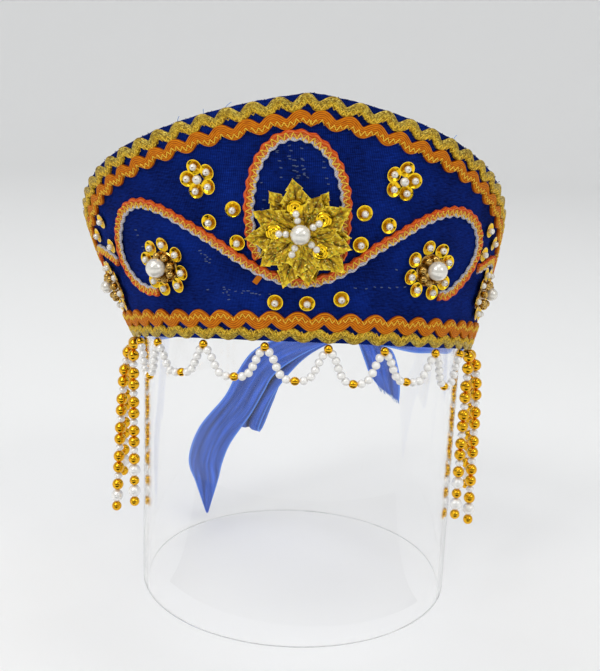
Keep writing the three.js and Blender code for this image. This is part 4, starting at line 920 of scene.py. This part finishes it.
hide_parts("flower_stamens")
heart = moved([pearl_skin(4.9, 0.4, 0, 44, 26)], 0, 1.4, 2.2, (0, 1.6 * STAMEN_RISE, 10.0))
heart_pearl = make_mesh("flower_heart_pearl", sewn(heart, *FLOWER_PLACE), [pearl])
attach(heart_pearl, "root")
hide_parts("flower_pearl")

# Swags
# Seven strings of small pearls hung in points under the front edge, with a gold bead where each string is
# sewn on and one at each point.
SWAG_ANGLES = (-68.5, -53, -31.5, -11, 8, 26, 47, 64)
HANG_GAP = 0.5
SWAG_PEARL = 4.2
SWAG_PEARL_WIDER = 1.08  # the pearls are a little wider than they are long
SWAG_GOLD = 4.6
SWAG_PEARLS_A_SIDE = 5
SWAG_SHOULDER = 0.8
SWAG_BOW = 5.6
SWAG_LIFT = 4.0
SWAG_TUCK = 0.6  # share of the way from the last pearl's end to the next gold bead
STRING_RADIUS = 0.3
# Metallised acrylic bead: mirror gold, a little deeper in colour where the lacquer is thick.
gold_bead = mottled("metallised_gold_bead", {"Metallic": 1.0, "Roughness": 0.17}, 8.0, ("#E09E10", "#FFC832"))
# Strung pearl: the same glass and essence, painted a shade whiter as painted light, since light also comes
# through from behind.
strung_lit_pearl = mottled("strung_pearl_painted_lighter", {
    "Metallic": 0.25, "Roughness": 0.24, "Coat Weight": 1.0, "Coat Roughness": 0.05, "IOR": 1.53,
    "Sheen Weight": 0.6, "Sheen Roughness": 0.3}, 3.5, ("#EFECE7", "#FBFAF7"))
# Beading thread: pale nylon, which shows only where a string leaves the cloth.
bead_thread = mottled("nylon_beading_thread", {"Roughness": 0.5}, 0.6, ("#B9AFA0", "#E8E2D6"))


def strung(route, beads, out):
    """Beads along a hanging route, close together from end to end, and their thread."""
    line, gone = even_steps(smooth_line(route), 0.4)
    skins = [cord(line, STRING_RADIUS, out, 6, 2)]
    spread = gone[-1] / sum(long for long, _, _ in beads)
    at = 0.0
    for long, wide, finish in beads:
        middle_at = at + long * spread / 2
        place = [np.interp(middle_at, gone, line[:, k]) for k in range(3)]
        ends = [np.array([np.interp(d, gone, line[:, k]) for k in range(3)]) for d in (at, at + long * spread)]
        way = (ends[1] - ends[0]) / np.linalg.norm(ends[1] - ends[0])
        side = np.cross(way, out)
        side /= np.linalg.norm(side)
        axes = np.array([side, np.cross(way, side), way])
        points, faces, material, lay = pearl_skin(wide / 2, 0.5, finish, length=long * spread)
        skins.append((points @ axes + np.array(place), faces, material, lay))
        at += long * spread
    return skins


down = np.array([0, 0, -1.0])
gold, pale = (SWAG_GOLD, SWAG_GOLD, 0), (SWAG_PEARL, SWAG_PEARL * SWAG_PEARL_WIDER, 1)
for k, (from_angle, to_angle) in enumerate(zip(SWAG_ANGLES, SWAG_ANGLES[1:])):
    start, end = on_panel(from_angle, -HANG_GAP), on_panel(to_angle, -HANG_GAP)
    along = (end - start) * np.array([1, 1, 0])
    along /= np.linalg.norm(along)
    aside = SWAG_PEARL / 2 + GAP
    left = start + down * (SWAG_GOLD + SWAG_SHOULDER) + along * aside
    right_end = end + down * (SWAG_GOLD + SWAG_SHOULDER) - along * aside
    arm = SWAG_PEARLS_A_SIDE * SWAG_PEARL + SWAG_GOLD / 2
    half = np.linalg.norm(left - right_end) / 2
    bottom = (left + right_end) / 2 + down * (math.sqrt(arm ** 2 - half ** 2) - SWAG_LIFT)
    route = [start, start + down * SWAG_GOLD, left, (left + bottom) / 2 + down * SWAG_BOW, bottom,
             (bottom + right_end) / 2 + down * SWAG_BOW, right_end]
    beads = [gold] + [pale] * SWAG_PEARLS_A_SIDE + [gold] + [pale] * SWAG_PEARLS_A_SIDE
    if k == len(SWAG_ANGLES) - 2:
        route += [end + down * SWAG_GOLD, end]
        beads.append(gold)
    else:
        route.append(right_end + (end + down * SWAG_GOLD - right_end) * SWAG_TUCK)
    skins = strung(route, beads, np.cross(along, down))
    swag = make_mesh("bead_swag_%d" % (k + 1), skins, [gold_bead, strung_lit_pearl, bead_thread])
    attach(swag, "root")
    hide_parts("swag_%d" % (k + 1))

# Strands
# Three strings at each temple, pairs of large gold beads with a small pearl between, that end in one or two
# big pearls and a gold bead.
STRANDS = [  # side and name, angle, how far it stands out, how far the foot swings in X and Y, pairs, ends
    ("left_a", -94.5, 4.4, -8.5, -5, 5, 1), ("left_b", -89.6, 1.8, 1.7, -4, 4, 2),
    ("left_c", -99.4, 6, -6, 7, 4, 1), ("right_a", 94.5, 6.2, 2.5, -5, 5, 1),
    ("right_b", 89.6, 0.6, -2, -5, 4, 2), ("right_c", 99.4, 6, 3, 7, 4, 1)]
STRAND_ROUTE = ((0.76, 5, 0.15), (1.0, 18, 0.4))  # share of standing out, way down and share of the swing
STRAND_OFF_FACE = 1.2
big_gold, small_pearl = (7.0, 7.0, 0), (4.0, 5.0, 1)
end_pearl, end_gold = (7.5, 7.5, 1), (6.0, 6.0, 0)
for name, angle, stand_out, foot_x, foot_y, pairs, ends in STRANDS:
    beads = [big_gold] + [big_gold, small_pearl, big_gold] * pairs + [end_pearl, end_gold] * ends
    length = sum(long for long, _, _ in beads)
    top = on_panel(np.clip(angle, -PANEL_END_ANGLE, PANEL_END_ANGLE), -HANG_GAP, STRAND_OFF_FACE)
    out = out_of_panel(angle) * np.array([1, 1, 0])
    out /= np.linalg.norm(out)
    route = [top] + [top + out * stand_out * o + np.array([foot_x * s, foot_y * s, -d])
                     for o, d, s in STRAND_ROUTE + ((1.0, length, 1.0),)]
    strand = make_mesh("bead_strand_" + name, strung(route, beads, out), [gold_bead, strung_lit_pearl, bead_thread])
    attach(strand, "root")
    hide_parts("strand_" + name)

# Ribbon
# One blue satin ribbon, sewn to both ends of the panel, passed round behind the tube and tied there in a
# half bow: two ties, a flat knot, one drooping loop, a long tail and a short one with a raw end.
RIBBON_SHEET = 0.5
RIBBONS = {  # angle from the back towards +X, height, standoff from the tube, tilt and width
    "tie_left": [
        (-85.6, 158.9, 6.2, 74, 20), (-77, 155.5, 3.6, 80, 25), (-64, 152.5, 1.6, 87, 26),
        (-48, 150, 0.9, 90, 26), (-30, 147.5, 0.9, 90, 26), (-14, 144, 0.9, 90, 24), (0, 142, 0.9, 90, 20),
        (12.3, 141, 0.9, 90, 18)],
    "tie_right": [
        (13.7, 141, 0.9, 90, 18), (26, 141, 0.9, 90, 22), (40, 142.5, 0.9, 90, 25), (53, 144.5, 0.9, 90, 26),
        (66, 150, 1.6, 93, 26), (78, 154.8, 3, 100, 25), (85.6, 159.2, 4.1, 106, 20)],
    "loop": [
        (11, 127.9, 9.6, 0, 13), (-3, 117, 7.4, -44, 18), (-13, 99, 6, -50, 22), (-19.5, 80, 6.2, -42, 25),
        (-22.6, 66, 7.8, -28, 26), (-22, 60.5, 11.2, -20, 26), (-19.6, 65.5, 14.8, -28, 26),
        (-15, 84, 16.4, -44, 25), (-8.5, 105, 16, -54, 19), (3, 124, 14.6, -36, 14), (12, 134.4, 13.2, 0, 12)],
    "tail_long": [
        (10, 127.8, 6.4, 0, 13), (-6, 120, 4, -44, 20), (-16, 110, 2.4, -48, 24), (-21.5, 97, 1.8, -40, 26),
        (-27, 81, 1.8, -36, 26), (-38.3, 60.5, 1.8, -30, 32), (-42.5, 44.5, 1.8, -19, 32),
        (-41.5, 29, 1.8, -6, 20), (-41.1, 5, 2, 0, 1.5)],
    "tail_short": [
        (21.4, 134.5, 6.6, -56, 12), (26, 131.5, 5.6, -24, 21), (31.3, 126.5, 4.6, 0, 27),
        (34.5, 117, 3.6, 0, 28), (37, 106, 3, -6, 26), (39.4, 97, 2.8, -20, 20)],
}
RIBBON_CREASE = 1.6  # depth of a long soft fold
# A fold's depth also sets how dark its painted shade is.
CREASES = {  # where across each length the fold runs, and how deep it is
    "tie_left": (0.1, 0.3), "tie_right": (0.1, 0.3), "loop": (0.16, 1.0), "tail_long": (-0.22, 0.35),
    "tail_short": (0.15, 0.5)}
RAW_THREADS = 26
KNOT = {"angle": 13.0, "height": 141.0, "standoff": 7.3, "width": 24.0, "depth": 11.2, "tall": 25.0}
# Polyester satin: smooth floats that shine along the ribbon, with that shine painted in as lighter and darker
# streaks, a painted highlight along both edges, painted shade in the long folds, and fine ribs across it.
RIB = 0.8  # drawn coarser than the real weft so that it shows
satin, tree, shader = new_finish("blue_satin", {
    "Roughness": 0.42, "Specular IOR Level": 0.15, "Anisotropic": 0.4})
laid = add(tree, "Attribute", attribute_name="Lay").outputs["Vector"]
split = add(tree, "SeparateXYZ", {0: laid})
ribs = add(tree, "TexWave", {"Vector": laid, "Scale": WAVE_PERIOD / RIB, "Distortion": 0.2},
           bands_direction="Y")
long_way = add(tree, "VectorMath", {0: laid, 1: (1 / 4.0, 1 / 45.0, 0.0)}, operation="MULTIPLY")
sheen = add(tree, "TexNoise", {"Vector": long_way.outputs[0], "Scale": 1.0, "Detail": 2.0})
# Painted sheen: long streaks of the ribbon painted lighter and darker blue.
painted_sheen_streaks = add(tree, "MapRange", {0: sheen.outputs["Fac"], 1: 0.3, 2: 0.7})
shine = add(tree, "Mix", {0: painted_sheen_streaks.outputs[0], 6: srgb("#1C429A"), 7: srgb("#4478F4")}, data_type="RGBA")
# Painted highlight: a paler blue along both edges.
edge_highlight = add(tree, "MapRange", {0: split.outputs[2]})
bound = add(tree, "Mix", {0: edge_highlight.outputs[0], 6: shine.outputs[2], 7: srgb("#5C92F6")}, data_type="RGBA")
# Painted shade: the long folds are painted near black.
fold_shade = add(tree, "MapRange", {0: split.outputs[2], 1: 0.0, 2: -1.0})
bound = add(tree, "Mix", {0: fold_shade.outputs[0], 6: bound.outputs[2], 7: srgb("#050C30")}, data_type="RGBA")
relief = add(tree, "Bump", {"Height": ribs.outputs["Fac"], "Strength": 0.12, "Distance": 0.15 * MM})
add(tree, shader, {"Base Color": bound.outputs[2], "Normal": relief.outputs[0]})


def behind_tube(angle, height, standoff):
    """Points round the back of the tube."""
    turn = np.radians(angle)
    radius = TUBE_RADIUS + standoff
    return np.stack([radius * np.sin(turn), radius * np.cos(turn), height + 0 * turn], -1) + axis_foot


for name, rows_of_ribbon in RIBBONS.items():
    rows = smooth_line(rows_of_ribbon, 14)
    centres = behind_tube(rows[:, 0], rows[:, 1], rows[:, 2])
    turn, tilt = np.radians(rows[:, 0]), np.radians(rows[:, 3])
    across_way = np.stack([np.cos(tilt) * np.cos(turn), -np.cos(tilt) * np.sin(turn), np.sin(tilt)], -1)
    ahead_way = np.gradient(centres, axis=0)
    out = np.cross(ahead_way, across_way)
    out /= np.linalg.norm(out, axis=1, keepdims=True)
    gone = np.concatenate([[0], np.cumsum(np.linalg.norm(np.diff(centres, axis=0), axis=1))])
    across = np.linspace(-0.5, 0.5, 33)
    gather = 0.35 * np.cos(across * 22)[None] * np.clip(1.3 - rows[:, 4:5] / 22, 0, 1)
    crease_at = CREASES[name][0] + 0.04 * np.sin(gone[:, None] / 17)
    crease = CREASES[name][1] * np.exp(-((across[None] - crease_at) / 0.07) ** 2)
    gather = gather - RIBBON_CREASE * crease
    wide = rows[:, 4:5] * across[None]
    middle_sheet = centres[:, None] + across_way[:, None] * wide[..., None] + out[:, None] * gather[..., None]
    half_sheet = out[:, None] * RIBBON_SHEET / 2
    # The lay's third part: 1 along both edges for the painted highlight there, less the fold for its painted shade.
    lay = np.stack([wide, np.broadcast_to(gone[:, None], wide.shape), (np.abs(across) > 0.46) - crease], -1)
    rings = np.concatenate([middle_sheet + half_sheet, (middle_sheet - half_sheet)[:, ::-1]], 1)
    skins = [skin(rings, 0, "capped", np.concatenate([lay, lay[:, ::-1]], 1))]
    for share in np.linspace(-0.5, 0.5, RAW_THREADS) if name == "tail_short" else ():
        steps = np.linspace(-1, chance.uniform(1.0, 3.4), 5)[:, None]
        on_ward = ahead_way[-1] / np.linalg.norm(ahead_way[-1]) + across_way[-1] * chance.normal(0, 0.25)
        path = centres[-1] + across_way[-1] * rows[-1, 4] * share + on_ward * steps
        skins.append(cord(path, 0.18, out[-1], 5, 1))
    ribbon = make_mesh("satin_" + name, skins, [satin, loose_thread], 60)
    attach(ribbon, "root")
    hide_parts("ribbon_" + name)

way = np.linspace(0, 2 * math.pi, 72, endpoint=False)
belt = np.linspace(-math.pi / 2 + 0.05, math.pi / 2 - 0.05, 41)
pleat = 1 + 0.05 * np.cos(9 * belt)[:, None] * np.cos(way)[None] ** 2
round_share = np.cos(belt)[:, None] ** 0.7
knot_rings = np.stack([
    np.sin(belt)[:, None] * KNOT["width"] / 2 + 0 * way[None],
    round_share * pleat * KNOT["depth"] / 2 * np.cos(way)[None],
    round_share * pleat * KNOT["tall"] / 2 * np.sin(way)[None]], -1)
spin = np.array(Matrix.Rotation(-math.radians(KNOT["angle"]), 3, "Z"))
knot_place = behind_tube(np.array(KNOT["angle"]), KNOT["height"], KNOT["standoff"])
knot_lay = np.stack([np.broadcast_to(belt[:, None] * 8, knot_rings.shape[:2]),
                     np.broadcast_to(way[None] * 9, knot_rings.shape[:2]), np.zeros(knot_rings.shape[:2])], -1)
knot = make_mesh("satin_knot", [skin(knot_rings @ spin.T + knot_place, 0, "capped", knot_lay)], [satin], 60)
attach(knot, "root")
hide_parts("ribbon_knot")
